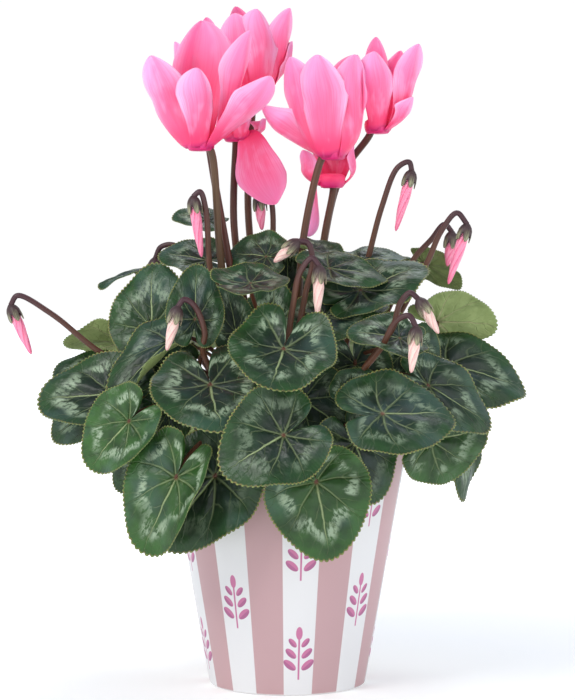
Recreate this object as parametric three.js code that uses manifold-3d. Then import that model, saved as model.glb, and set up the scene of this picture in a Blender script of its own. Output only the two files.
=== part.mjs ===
// A cyclamen in flower, in its nursery pot inside a striped cachepot.
// Millimetres, +Z up. The origin is the middle of the cachepot's base and -Y is the front.
import * as THREE from 'three'
import { mergeVertices } from 'three/addons/utils/BufferGeometryUtils.js'
import Module from 'manifold-3d'

const wasm = await Module()
wasm.setup()

// ---- Driving dimensions -------------------------------------------------------------------

const COVER = { rimRadius: 63, baseRadius: 41, height: 125, wall: 1.6, floor: 1.8, sides: 28 }
const NURSERY = { rimRadius: 57.5, baseRadius: 37.2, height: 106, wall: 1.2, floor: 1.6, sides: 19 }
const SOIL = { level: 101, crown: 2.5, crumb: 1.1, rings: 3, sides: 14 }
const CORM = { radius: 19, top: 113, bottom: 93, sides: 10 }
const CLEARANCE = 0.3
const SEAT = 0.5
const SLIVER = 0.05
const SPRAY_SLIVER = 0.18
const BLADE_THICKNESS = 0.8
const PETAL_THICKNESS = 0.9
const LEAF_STALK_RADIUS = 1.25
const FLOWER_STALK_RADIUS = 1.9
const BUD_STALK_RADIUS = 1.45

// A leaf's outline: its points round the edge and round the ring half way in.
const EDGE_POINTS = 19
const RING_POINTS = 6
const TOOTH = 0.1
const NOTCH_HALF_ANGLE = 0.13

const FINISH = {
  cover: { color: 0xd9b8bb, roughness: 0.45, metalness: 0 },
  nursery: { color: 0x7a4a38, roughness: 0.6, metalness: 0 },
  soil: { color: 0x2a1d16, roughness: 0.95, metalness: 0 },
  stem: { color: 0x5b3a2e, roughness: 0.5, metalness: 0 },
  leaf: { color: 0x2f5238, roughness: 0.4, metalness: 0 },
  petal: { color: 0xff7fb4, roughness: 0.5, metalness: 0 },
  paleBud: { color: 0xf6c9c6, roughness: 0.5, metalness: 0 },
  pinkBud: { color: 0xf56f96, roughness: 0.5, metalness: 0 },
}

// ---- Leaves -------------------------------------------------------------------------------
// at: where the stalk joins the blade. tip: the blade's tip. face: the way its upper side looks.
// wide and back stretch it sideways and behind the stalk. left and right curl its halves up,
// droop bends its tip down and lobes lifts the two lobes behind the stalk, in degrees per length.

const LEAVES = [
  { name: 'front_leaf_1', at: [-2, -98, 138], tip: [-32, -104, 121], face: [0, -0.85, 0.5],
    wide: 1.12, back: 1.1, right: 60, lobes: 40 },
  { name: 'front_leaf_2', at: [14, -84, 114], tip: [21, -78, 74], face: [0.1, -0.97, 0.1],
    wide: 0.96, back: 0.75, left: 4, right: 8, lobes: 5 },
  { name: 'front_leaf_3', at: [-55, -72, 115], tip: [-72, -66, 76], face: [-0.35, -0.93, 0.1],
    wide: 0.9, left: 130, right: 8, lobes: 40 },
  { name: 'front_leaf_4', at: [-36, -65, 115], tip: [-64, -57, 78], face: [-0.3, -0.93, 0.15],
    wide: 0.85, left: 5, right: 12 },
  { name: 'front_leaf_5', at: [-38, -78, 161], tip: [-32, -100, 140], face: [0, -0.75, 0.65],
    wide: 1.42, back: 1.6, lobes: 20 },
  { name: 'front_leaf_6', at: [-2, -88, 179], tip: [-8, -108, 160], face: [0, -0.7, 0.7],
    wide: 1.4, back: 1.7, lobes: 50 },
  { name: 'front_leaf_7', at: [46, -92, 148], tip: [83, -74, 146], face: [0.1, -0.8, 0.6],
    wide: 0.86, lobes: 10 },
  { name: 'front_leaf_8', at: [55, -74, 184], tip: [29, -79, 187], face: [0, -0.6, 0.8],
    wide: 0.9, left: 30, right: 30, lobes: 60 },
  { name: 'front_leaf_9', at: [33, -70, 132], tip: [45, -62, 101], face: [0.3, -0.93, 0.2], wide: 0.95 },
  { name: 'left_leaf_1', at: [-79, -62, 142], tip: [-100, -56, 118], face: [-0.15, -0.95, 0.35],
    wide: 0.95, left: 80, right: 10, lobes: 50 },
  { name: 'left_leaf_2', at: [-60, -42, 181], tip: [-92, -52, 148], face: [-0.45, -0.75, 0.45],
    wide: 0.6, left: 230, right: 10 },
  { name: 'left_leaf_3', at: [-89, -36, 154], tip: [-129, -26, 150], face: [-0.25, -0.85, 0.5],
    wide: 0.85, left: 80, right: 10 },
  { name: 'left_leaf_4', at: [-70, -22, 188], tip: [-69, -8, 221], face: [-0.25, -0.9, 0.35],
    wide: 0.95, back: 0.9 },
  { name: 'left_leaf_5', at: [-61, -38, 145], tip: [-74, -36, 122], face: [0.1, -0.95, 0.2], wide: 0.8 },
  { name: 'left_leaf_6', at: [-70, -32, 126], tip: [-88, -30, 104], face: [-0.4, -0.9, 0], wide: 0.8 },
  { name: 'left_leaf_7', at: [-98, -18, 150], tip: [-122, -14, 128], face: [-0.4, -0.85, 0.2], wide: 0.7 },
  { name: 'left_leaf_8', at: [-98, -2, 165], tip: [-124, 4, 163], face: [-0.3, -0.6, 0.75], wide: 0.8 },
  { name: 'left_leaf_9', at: [-88, 6, 179], tip: [-118, 4, 180], face: [-0.1, 0.6, 0.75], wide: 0.8 },
  { name: 'top_leaf_1', at: [-46, -64, 193], tip: [-45, -54, 221], face: [0.1, -0.95, 0.3],
    wide: 0.72, back: 0.9 },
  { name: 'top_leaf_2', at: [-18, -72, 211], tip: [1, -66, 213], face: [0, -0.5, 0.85],
    wide: 1.1, back: 1.9, left: 40, right: 40, lobes: 40 },
  { name: 'top_leaf_3', at: [-11, -24, 224], tip: [-31, -14, 226], face: [0.1, -0.85, 0.5], wide: 1 },
  { name: 'top_leaf_4', at: [21, -48, 218], tip: [51, -40, 213], face: [0.05, -0.55, 0.83], wide: 0.75 },
  { name: 'top_leaf_5', at: [37, -42, 207], tip: [72, -28, 219], face: [0.1, -0.55, 0.83], wide: 0.75 },
  { name: 'top_leaf_6', at: [19, -48, 194], tip: [51, -42, 201], face: [0, -0.6, 0.8], wide: 0.95 },
  { name: 'top_leaf_7', at: [-42, -16, 222], tip: [-67, -12, 226], face: [0, -0.6, 0.8], wide: 0.95 },
  { name: 'top_leaf_8', at: [38, -12, 222], tip: [62, -4, 224], face: [0, -0.45, 0.9], wide: 0.8 },
  { name: 'right_leaf_1', at: [72, -55, 132], tip: [102, -30, 137], face: [0.6, -0.75, 0.1], wide: 0.85 },
  { name: 'right_leaf_2', at: [70, -62, 160], tip: [104, -48, 138], face: [0.25, -0.85, 0.45],
    wide: 0.64, back: 0.8 },
  { name: 'right_leaf_3', at: [82, -22, 168], tip: [125, -8, 154], face: [0.2, -0.75, 0.6],
    wide: 0.72, droop: 35 },
  { name: 'right_leaf_4', at: [90, -24, 138], tip: [89, -30, 98], face: [0.75, -0.6, 0.1], wide: 0.6 },
  { name: 'right_leaf_5', at: [78, -6, 190], tip: [110, 4, 188], face: [0.2, 0.8, 0.55], wide: 0.9 },
  { name: 'inner_leaf_1', at: [8, -62, 153], tip: [34, -66, 134], face: [0, -0.95, 0.3], wide: 1 },
]

// Leafy sprays: several blades on stalks that rise together from beside the corm.
// Small leaves seen between the large ones are placed as the large ones are. The leaves of the
// far side are given by the compass: round, out and up are where the stalk joins the blade.

const SPRAYS = [
  { name: 'leaf_spray_1', foot: [-38, -10], blades: [
    { at: [-80, 4, 216], tip: [-99, -4, 208], face: [-0.3, -0.12, 1], wide: 0.65 },
    { at: [-26, -46, 186], tip: [-32, -38, 211], face: [0.35, -0.85, 0.3], wide: 0.7 },
    { at: [-10, -34, 184], tip: [-6, -29, 213], face: [0.1, -0.95, 0.2], wide: 0.85 },
    { at: [-58, -14, 164], tip: [-84, -13, 154], face: [-0.2, -0.95, 0.2], wide: 0.9 }] },
  { name: 'leaf_spray_2', foot: [36, -12], blades: [
    { at: [30, -76, 158], tip: [42, -74, 168], face: [0.3, -0.6, 0.75], wide: 1, left: 40, right: 40 },
    { at: [13, -16, 228], tip: [31, -24, 220], face: [0.2, -0.2, 0.95], wide: 1, left: 50, right: 30 },
    { at: [74, 24, 220], tip: [93, 28, 207], face: [0.3, 0.55, 0.8], wide: 0.9 },
    { at: [34, -50, 170], tip: [40, -48, 142], face: [0.1, -0.98, 0.1], wide: 0.95 },
    { at: [62, -42, 178], tip: [58, -40, 152], face: [0.1, -0.98, 0.1], wide: 0.9 }] },
  { name: 'leaf_spray_3', foot: [28, 22], blades: [
    { round: 27, out: 82, up: 134, length: 42, fall: 52 },
    { round: 34, out: 76, up: 184, length: 46, fall: 22 },
    { round: 47, out: 84, up: 146, length: 44, fall: 42 },
    { round: 56, out: 42, up: 214, length: 38, fall: 8 }] },
  { name: 'leaf_spray_4', foot: [4, 34], blades: [
    { round: 79, out: 90, up: 136, length: 46, fall: 52 },
    { round: 74, out: 84, up: 178, length: 48, fall: 24 },
    { round: 100, out: 68, up: 194, length: 44, fall: 18 },
    { round: 106, out: 20, up: 224, length: 38, fall: 4 },
    { at: [0, 17, 206], tip: [0, 21, 232], face: [0, -0.95, 0.3], wide: 0.85 }] },
  { name: 'leaf_spray_5', foot: [-26, 26], blades: [
    { round: 114, out: 88, up: 140, length: 44, fall: 50 },
    { round: 132, out: 80, up: 176, length: 48, fall: 24 },
    { round: 143, out: 92, up: 140, length: 44, fall: 46 },
    { at: [-42, 12, 243], tip: [-61, 14, 246], face: [0, -0.5, 0.85], wide: 0.9 },
    { round: 156, out: 82, up: 182, length: 42, fall: 22 }] },
]

// ---- Blooms -------------------------------------------------------------------------------
// mouth: the middle of the ring the petals spring from. stem: the stalk's way up to it.
// Each petal has its tip, measured from the mouth, its width and its turn along its length.

const BLOOMS = [
  { name: 'bloom_1', mouth: [-44.7, -30, 279], stem: [[-8, -6], [-24, -16, 165], [-34, -25, 221]], enter: [6, 1],
    petals: [
      { tip: [-22, -8, 47], wide: 24, turn: 50 },
      { tip: [-2, 9, 66], wide: 31, turn: 15 },
      { tip: [1, -14, 40], wide: 21, turn: 35 },
      { tip: [34, -9, 37], wide: 22, turn: -60 },
      { tip: [23, 6, 61], wide: 27, turn: -80 }] },
  { name: 'bloom_2', mouth: [23, -16, 275], stem: [[2, -5], [5, -14, 180], [8, -20, 232]], enter: [-6, 0],
    petals: [
      { tip: [-19, -2, 52], wide: 25, turn: 60 },
      { tip: [-5, -11, 52], wide: 26, turn: 15 },
      { tip: [9, -2, 53], wide: 27, turn: -60 },
      { tip: [14, 10, 54], wide: 24, turn: -20 },
      { tip: [-35, 7, 28], wide: 22, turn: 60 }] },
  { name: 'bloom_3', mouth: [47, 5, 289.5], stem: [[6, 6], [14, 16, 180], [19.5, 19, 232], [28, 20, 266]],
    enter: [-4, 4], petals: [
      { tip: [1, 6, 50], wide: 12, turn: -10 },
      { tip: [0, -10, 41], wide: 20, turn: 15 },
      { tip: [19.5, -2, 46], wide: 22, turn: -64 },
      { tip: [11, 8, 43], wide: 18, turn: 10 },
      { tip: [17, -8, 18], wide: 14, turn: -30 }] },
  { name: 'bloom_4', mouth: [-17, 17, 309], stem: [[-2, 5], [-13, 16, 180], [-21, 20, 250]], enter: [-1, 1],
    petals: [
      { tip: [-8, 9, 48], wide: 22, turn: -10 },
      { tip: [-8, -7, 43], wide: 26, turn: 30 },
      { tip: [3, -6, 45], wide: 24, turn: 10 },
      { tip: [16, 3, 47], wide: 23, turn: -80 },
      { tip: [19, 8, 30], wide: 18, turn: -45 }] },
  { name: 'bloom_5', mouth: [23, 2, 261], stem: [[6, 1], [14, 4, 180], [19, 2, 232]], enter: [1, 0],
    petals: [
      { tip: [-12, -3, -27], wide: 10, turn: 60, bow: 7 },
      { tip: [-14, -1, 19], wide: 12, turn: 60 },
      { tip: [11, 2, 21], wide: 12, turn: -60 },
      { tip: [-3, 8, 30], wide: 18, turn: 10 },
      { tip: [6, 9, 28], wide: 16, turn: -10 }] },
  { name: 'bloom_6', mouth: [-27, 2, 285], stem: [[-4, 1], [-19, 4, 180], [-28, 2, 240]], enter: [0, 0],
    petals: [
      { tip: [20, -8, -34], wide: 26, turn: 10, bow: 4 },
      { tip: [15, 6, 12], wide: 16, turn: -50 },
      { tip: [-5, -4, 22], wide: 13, turn: 40, bow: 7 },
      { tip: [2, -4, 24], wide: 14, bow: 7 },
      { tip: [3, 8, 18], wide: 12, bow: 5 }] },
  { name: 'bloom_7', mouth: [-44, 8, 303], stem: [[-6, -3], [-21, -10, 165], [-30, -19, 221], [-39, -8, 270]],
    enter: [0, 0], petals: [
      { tip: [0, 4, 47], wide: 14, turn: 30 },
      { tip: [3, 9, 38], wide: 14, turn: -20, bow: 8 },
      { tip: [-12, 12, 36], wide: 16, turn: 30, bow: 9 },
      { tip: [-14, 0, 34], wide: 15, turn: 50, bow: 9 },
      { tip: [2, -7, 34], wide: 13, turn: -20, bow: 7 }] },
]

// ---- Buds ---------------------------------------------------------------------------------
// path: the stalk's way from the corm to the calyx. tip: the end of the furled petals.

const BUDS = [
  { name: 'bud_1', colour: 'pinkBud', tip: [-132, -22, 174],
    path: [[-12, -3], [-55, -12, 150], [-97, -20, 175], [-122, -22, 195], [-139, -22, 204], [-142.5, -22, 199]] },
  { name: 'bud_2', colour: 'paleBud', tip: [-59.5, -72, 178],
    path: [[-10, -9], [-28, -40, 150], [-42, -64, 177], [-41, -68, 187], [-46, -70, 200], [-51, -71, 203],
      [-54, -72, 199.5]] },
  { name: 'bud_3', colour: 'pinkBud', tip: [-43.7, -34, 224],
    path: [[-10, -5], [-33, -24, 180], [-39.6, -31, 218], [-41.6, -33, 248], [-44.5, -34, 257], [-48, -34, 254.5]] },
  { name: 'bud_4', colour: 'pinkBud', tip: [-13.4, 0, 238],
    path: [[-3, -2], [-6, 0, 180], [-7.6, 0, 223], [-8.1, 0, 251], [-11, 0, 260], [-15, 0, 256.5]] },
  { name: 'bud_5', colour: 'paleBud', tip: [-6.7, -60, 221.5],
    path: [[2, -10], [3, -46, 170], [9, -60, 206], [12.5, -60, 222], [10, -60, 231], [5.5, -60, 232]] },
  { name: 'bud_6', colour: 'paleBud', tip: [14.6, -70, 194.4],
    path: [[-1, -12], [-1, -52, 168], [3, -68, 202], [6, -70, 216], [12, -70, 223.5], [15.8, -70, 219.5]] },
  { name: 'bud_7', colour: 'pinkBud', tip: [56.2, -10, 237.4],
    path: [[9, 0], [34, -6, 190], [43.4, -9, 229], [49, -10, 250], [57, -10, 270], [63, -10, 273], [64.5, -10, 268.5]] },
  { name: 'bud_8', colour: 'pinkBud', tip: [82.7, -22, 210],
    path: [[11, -4], [50, -16, 180], [71.9, -20, 221], [79, -21, 237], [87, -22, 246.5], [92.4, -22, 240.5]] },
  { name: 'bud_9', colour: 'pinkBud', tip: [84.6, 12, 219],
    path: [[11, 4], [48, 10, 185], [66.3, 11, 222], [76, 12, 233], [83, 12, 241], [87, 12, 237]] },
  { name: 'bud_10', colour: 'paleBud', tip: [73.9, -80, 186.7],
    path: [[8, -8], [36, -58, 165], [52, -76, 190], [55, -78, 201], [60, -79, 206.5], [64, -80, 203.5]] },
  { name: 'bud_11', colour: 'paleBud', tip: [60, -90, 168],
    path: [[6, -10], [30, -62, 158], [46, -80, 180], [53, -86, 193], [59, -88, 195.5], [62.5, -89, 190]] },
  { name: 'bud_12', colour: 'pinkBud', tip: [-73, 13, 198],
    path: [[-10, 3], [-34, 8, 190], [-52, 10, 221], [-60, 11, 230], [-67, 12, 229], [-70, 13, 223]] },
]

// ---- Solids -------------------------------------------------------------------------------

const vec = ([x, y, z]) => new THREE.Vector3(x, y, z)

/** A closed mesh as a solid that can be joined and cut. */
function solidFrom(positions, triangles) {
  const vertProperties = new Float32Array(positions.flatMap((p) => [p.x, p.y, p.z]))
  return new wasm.Manifold(new wasm.Mesh({ numProp: 3, vertProperties, triVerts: new Uint32Array(triangles.flat()) }))
}

/** A closed three.js geometry as a solid. */
function solidFromGeometry(geometry) {
  geometry.deleteAttribute('normal')
  geometry.deleteAttribute('uv')
  const merged = mergeVertices(geometry, 1e-4)
  const vertProperties = new Float32Array(merged.getAttribute('position').array)
  const triVerts = new Uint32Array(merged.getIndex().array)
  return new wasm.Manifold(new wasm.Mesh({ numProp: 3, vertProperties, triVerts }))
}

const volumeOf = (solid) => (solid.isEmpty() ? 0 : solid.volume())

/** The largest piece that a cut has left, without loose scraps, sealed hollows or slivers. */
function mainPiece(solid, sliver = SLIVER) {
  const pieces = solid.asOriginal().simplify(sliver).decompose()
  return pieces.reduce((largest, piece) => (volumeOf(piece) > volumeOf(largest) ? piece : largest))
}

const unite = (solids) => wasm.Manifold.union(solids)

/** A named mesh made from a solid, in one of the finishes. */
function meshOf(name, solid, finish) {
  const { vertProperties, triVerts } = solid.getMesh()
  const geometry = new THREE.BufferGeometry()
  geometry.setAttribute('position', new THREE.BufferAttribute(new Float32Array(vertProperties), 3))
  geometry.setIndex(new THREE.BufferAttribute(new Uint32Array(triVerts), 1))
  geometry.computeVertexNormals()
  const mesh = new THREE.Mesh(geometry, new THREE.MeshStandardMaterial(finish))
  mesh.name = name
  return mesh
}

/** A thin curved sheet given solid thickness, the two faces split into triangles alike. */
function sheetSolid(points, triangles, thickness) {
  const normals = points.map(() => new THREE.Vector3())
  for (const [a, b, c] of triangles) {
    const normal = points[b].clone().sub(points[a]).cross(points[c].clone().sub(points[a]))
    for (const corner of [a, b, c]) normals[corner].add(normal)
  }
  const count = points.length
  const upper = points.map((p, i) => p.clone().addScaledVector(normals[i].normalize(), thickness / 2))
  const lower = points.map((p, i) => p.clone().addScaledVector(normals[i], -thickness / 2))
  const edges = new Set(triangles.flatMap(([a, b, c]) => [`${a},${b}`, `${b},${c}`, `${c},${a}`]))
  const faces = []
  for (const [a, b, c] of triangles) faces.push([a, b, c], [a + count, c + count, b + count])
  for (const edge of edges) {
    const [a, b] = edge.split(',').map(Number)
    if (!edges.has(`${b},${a}`)) faces.push([b, a, a + count], [b, a + count, b + count])
  }
  return solidFrom([...upper, ...lower], faces)
}

/** A smooth path that is followed in ever shorter steps, for a stem that hooks over at its end. */
class HookedPath extends THREE.CatmullRomCurve3 {
  getPointAt(share, target) {
    return super.getPointAt(1 - (1 - share) ** 1.7, target)
  }

  getTangentAt(share, target) {
    return super.getTangentAt(1 - (1 - share) ** 1.7, target)
  }
}

/** A stem of one thickness along a smooth path. */
function stemSolid(path, radius, sides, steps) {
  const outline = Array.from({ length: sides }, (_, i) => {
    const angle = (2 * Math.PI * i) / sides
    return new THREE.Vector2(radius * Math.cos(angle), radius * Math.sin(angle))
  })
  const geometry = new THREE.ExtrudeGeometry(new THREE.Shape(outline), { steps, extrudePath: path, bevelEnabled: false })
  return solidFromGeometry(geometry)
}

const throughPoints = (points) => new THREE.CatmullRomCurve3(points.map(vec), false, 'centripetal')

// ---- Leaf blades --------------------------------------------------------------------------

/** The heart-shaped outline: distance from the stalk to the edge, the tip being 1 away. */
function outlineRadius(angle) {
  const size = Math.abs(angle)
  const point = 0.12 * Math.exp(-((angle / 0.35) ** 2))
  const lobe = 0.1 * Math.exp(-(((size - 2.5) / 0.45) ** 2))
  const notch = 1 - Math.exp(-(((Math.PI - size) / 0.16) ** 2))
  const taper = 1 - 0.09 * Math.exp(-(((size - 0.9) / 0.5) ** 2))
  return (0.68 + 0.2 * Math.cos(angle) + point + lobe) * notch * taper
}

/** A length bent evenly into an arc: how far it goes forward and how far up. */
function bend(length, degreesPerLength) {
  const curvature = THREE.MathUtils.degToRad(degreesPerLength)
  if (Math.abs(curvature) < 1e-6) return [length, 0]
  return [Math.sin(curvature * length) / curvature, (1 - Math.cos(curvature * length)) / curvature]
}

/** The form of a blade where its own row says nothing else. */
const FORM = { wide: 1, back: 1, left: 14, right: 14, droop: 22, lobes: 20, cup: 0.04, wave: 0.03 }

/** The directions a blade is drawn in: across it, along it to the tip, and up from its face. */
function bladeFrame(leaf) {
  const at = vec(leaf.at)
  const along = vec(leaf.tip).sub(at)
  const length = along.length()
  along.normalize()
  const up = vec(leaf.face)
  up.addScaledVector(along, -up.dot(along)).normalize()
  const across = along.clone().cross(up)
  const { droop, cup } = { ...FORM, ...leaf }
  const [forward, lift] = bend(1, -droop)
  const rise = lift + cup
  const reach = Math.hypot(forward, rise)
  const turn = Math.atan2(-rise, forward)
  along.applyAxisAngle(across, turn)
  up.applyAxisAngle(across, turn)
  return { at, along, up, across, length: length / reach }
}

/** A point of the blade at an angle from the tip and a share of the way out to the edge. */
function bladePoint(leaf, frame, angle, share, tooth) {
  const { wide, back, left, right, droop, lobes, cup, wave } = { ...FORM, ...leaf }
  const radius = outlineRadius(angle) * (share + tooth)
  const x = radius * Math.sin(angle) * wide
  const y = radius * Math.cos(angle) * (Math.cos(angle) < 0 ? back : 1)
  const [sideways, curl] = bend(Math.abs(x), x > 0 ? right : left)
  const [lengthways, lift] = y > 0 ? bend(y, -droop) : bend(-y, lobes)
  const ripple = wave * share ** 3 * Math.sin(5 * angle)
  const height = curl + lift + cup * radius * radius + ripple
  return frame.at.clone()
    .addScaledVector(frame.across, frame.length * sideways * Math.sign(x))
    .addScaledVector(frame.along, frame.length * lengthways * Math.sign(y))
    .addScaledVector(frame.up, frame.length * height)
}

/** A toothed, heart-shaped blade. */
function bladeSolid(leaf, thickness) {
  const frame = bladeFrame(leaf)
  const angleAt = (index, count) => (2 * index / (count - 1) - 1) * (Math.PI - NOTCH_HALF_ANGLE)
  const points = [frame.at.clone()]
  for (let i = 0; i < RING_POINTS; i++) points.push(bladePoint(leaf, frame, angleAt(i, RING_POINTS), 0.5, 0))
  for (let i = 0; i < EDGE_POINTS; i++) {
    const tooth = i % 2 ? -TOOTH : 0
    points.push(bladePoint(leaf, frame, angleAt(i, EDGE_POINTS), 1, tooth))
  }
  const edge = 1 + RING_POINTS
  const triangles = []
  for (let i = 0; i < RING_POINTS - 1; i++) triangles.push([0, 2 + i, 1 + i])
  let inner = 0
  for (let outer = 0; outer < EDGE_POINTS - 1; outer++) {
    triangles.push([1 + inner, edge + outer + 1, edge + outer])
    const due = Math.round(((outer + 1) * (RING_POINTS - 1)) / (EDGE_POINTS - 1))
    if (due > inner) {
      triangles.push([1 + inner, 2 + inner, edge + outer + 1])
      inner = due
    }
  }
  return sheetSolid(points, triangles, thickness)
}

/** The leaf stalk's way from its foot to just under the blade, which a hanging blade gets from above. */
function leafStalkPath(leaf, foot) {
  const { at, along, up, length } = bladeFrame(leaf)
  const end = at.clone().addScaledVector(up, -(BLADE_THICKNESS / 2 + SEAT))
  const hanging = Math.max(0, -along.z)
  const approach = new THREE.Vector3(0, 0, 0.2 + 0.5 * hanging)
    .addScaledVector(up, 0.8 * hanging - 0.9)
    .addScaledVector(along, -0.2 - 0.8 * hanging)
  const before = end.clone().addScaledVector(approach.normalize(), 0.6 * length)
  const height = THREE.MathUtils.clamp(at.z + 8, 150, 190)
  const above = new THREE.Vector3(1.6 * foot.x, 1.6 * foot.y, height)
  return new THREE.CubicBezierCurve3(foot, above, before, end)
}

/** A leaf of the far side, given by the compass, as a leaf given by its points. */
function compassLeaf({ round, out, up, length, fall }) {
  const angle = THREE.MathUtils.degToRad(round)
  const slope = THREE.MathUtils.degToRad(fall)
  const outward = new THREE.Vector3(Math.cos(angle), Math.sin(angle), 0)
  const at = outward.clone().multiplyScalar(out).setZ(up)
  const along = outward.clone().multiplyScalar(Math.cos(slope)).setZ(-Math.sin(slope))
  const face = outward.clone().multiplyScalar(Math.sin(slope)).setZ(Math.cos(slope))
  return { at: at.toArray(), tip: at.clone().addScaledVector(along, length).toArray(), face: face.toArray(), wide: 0.95 }
}

// ---- Bloom, bud and calyx -----------------------------------------------------------------

/** How wide a petal is along its length: it widens from a narrow claw and ends round. */
function petalWidth(share) {
  const claw = 0.32 + 0.68 * (share / PETAL_WIDEST) ** 0.9
  const end = (share - PETAL_WIDEST) / (1.003 - PETAL_WIDEST)
  return share < PETAL_WIDEST ? claw : (1 - end ** 2.2) ** 0.6
}

const PETAL_WIDEST = 0.68
const PETAL_ROWS = [0, 0.35, 0.7, 0.93]
const PETAL_COLUMNS = [-1, 0, 1]

/** One swept-back petal, rooted in the mouth. */
function petalSolid(bloom, { tip: offset, wide, turn = 0, bow = 12, cup = 0.25, slant = 0.18 }) {
  const mouth = vec(bloom.mouth)
  const tip = vec(offset)
  const outward = new THREE.Vector3(tip.x, tip.y * 1.5 - 0.01, 0).normalize()
  const root = mouth.clone().addScaledVector(outward, 4).setZ(mouth.z + 1)
  const steepness = THREE.MathUtils.clamp(tip.z / 30, 0.3, 1.3)
  const shoulder = root.clone().addScaledVector(outward, bow).add(new THREE.Vector3(0, 0, steepness * bow))
  const end = mouth.clone().add(tip)
  const lean = tip.z > 0 ? 0.45 : 2.2
  const approach = new THREE.Vector3(lean * tip.x, lean * tip.y, tip.z).normalize()
  const nearEnd = end.clone().addScaledVector(approach, -0.4 * tip.length())
  const line = new THREE.CubicBezierCurve3(root, shoulder, nearEnd, end)
  const sideways = new THREE.Vector3(0, 0, 1).cross(outward)
  const points = []
  for (const share of PETAL_ROWS) {
    const tangent = line.getTangent(share)
    const width = sideways.clone().applyAxisAngle(tangent, THREE.MathUtils.degToRad(turn * Math.sqrt(share)))
    width.addScaledVector(tangent, -width.dot(tangent)).normalize()
    const face = tangent.clone().cross(width)
    const half = (petalWidth(share) * wide) / 2
    for (const across of PETAL_COLUMNS) {
      points.push(line.getPoint(share).addScaledVector(width, across * half)
        .addScaledVector(face, half * (cup * across * across + slant * across)))
    }
  }
  const columns = PETAL_COLUMNS.length
  const triangles = []
  for (let row = 0; row < PETAL_ROWS.length - 1; row++) {
    for (let column = 0; column < columns - 1; column++) {
      const corner = row * columns + column
      triangles.push([corner, corner + 1, corner + columns + 1], [corner, corner + columns + 1, corner + columns])
    }
  }
  const last = (PETAL_ROWS.length - 1) * columns
  points.push(end)
  for (let column = 0; column < columns - 1; column++) {
    triangles.push([last + column, last + column + 1, points.length - 1])
  }
  return sheetSolid(points, triangles, PETAL_THICKNESS)
}

// The mouth's underside falls away from its middle to its rim.
const MOUTH_RADIUS = 6
const MOUTH_SLOPE = 0.2

/** A bloom: the cup of its mouth with five petals sunk in it. */
function bloomSolid(bloom) {
  const profile = [[0, 5], [6.5, 4], [8.5, 1], [MOUTH_RADIUS, -MOUTH_SLOPE * MOUTH_RADIUS], [0, 0]]
    .map(([r, z]) => new THREE.Vector2(r, z))
  const cup = new THREE.LatheGeometry(profile.reverse(), 8).rotateX(Math.PI / 2).translate(...bloom.mouth)
  return unite([solidFromGeometry(cup), ...bloom.petals.map((petal) => petalSolid(bloom, petal))])
}

/** Rings of points about an axis, joined into one closed solid with a point at each end. */
function ringedSolid(start, direction, rings) {
  const turn = new THREE.Quaternion().setFromUnitVectors(new THREE.Vector3(0, 0, 1), direction)
  const place = (x, y, z) => new THREE.Vector3(x, y, z).applyQuaternion(turn).add(start)
  const sides = rings[0].length
  const points = [place(0, 0, rings[0][0][1])]
  for (const [level, ring] of rings.entries()) {
    ring.forEach(([radius, along, twist = 0], side) => {
      const angle = (2 * Math.PI * side) / sides + twist
      points.push(place(radius * Math.cos(angle), radius * Math.sin(angle), along))
    })
    if (level === rings.length - 1) points.push(place(0, 0, ring[0][3] ?? ring[0][1]))
  }
  const triangles = []
  const at = (level, side) => 1 + level * sides + (side % sides)
  for (let side = 0; side < sides; side++) {
    triangles.push([0, at(0, side + 1), at(0, side)])
    for (let level = 0; level < rings.length - 1; level++) {
      const [a, b, c, d] = [at(level, side), at(level, side + 1), at(level + 1, side + 1), at(level + 1, side)]
      triangles.push([a, b, c], [a, c, d])
    }
    triangles.push([points.length - 1, at(rings.length - 1, side), at(rings.length - 1, side + 1)])
  }
  return solidFrom(points, triangles)
}

const CALYX = { length: 6, sepal: 3.4, sides: 10 }

/** The green cup of five pointed sepals that holds a bud. */
function calyxSolid(start, direction) {
  const ring = (radius, along) => Array.from({ length: CALYX.sides }, () => [radius, along])
  const star = Array.from({ length: CALYX.sides }, (_, i) => [3.7, CALYX.length + (i % 2 ? CALYX.sepal : 0)])
  return ringedSolid(start, direction, [ring(2.2, 0.4), star])
}

/** The furled petals of a bud, twisted and tapering to a blunt end. */
function budSolid(start, direction, length) {
  const rings = [[2.4, 0, 0], [2.75, 0.15, 0.3], [2.2, 0.55, 1.1], [1.1, 0.97, 1.9]]
  return ringedSolid(start, direction, rings.map(([radius, share, twist]) => (
    Array.from({ length: 5 }, () => [radius, share * length, twist, share > 0.9 ? length : undefined]))))
}

// ---- Pots and soil ------------------------------------------------------------------------

/** A tapered pot standing on its floor at a height. */
function potSolid({ rimRadius, baseRadius, height, wall, floor, sides }, standing) {
  const slope = (rimRadius - baseRadius) / height
  const profile = [
    [0, 0], [baseRadius, 0], [rimRadius, height], [rimRadius - wall, height],
    [baseRadius + slope * floor - wall, floor], [0, floor],
  ].map(([r, z]) => new THREE.Vector2(r, z + standing))
  return solidFromGeometry(new THREE.LatheGeometry(profile, sides).rotateX(Math.PI / 2))
}

/** A repeatable height for each crumb of the soil's surface. */
const crumbHeight = (ring, side) => Math.sin(ring * 12.9 + side * 7.3) * Math.cos(ring * 4.1 - side * 3.7)

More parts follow.
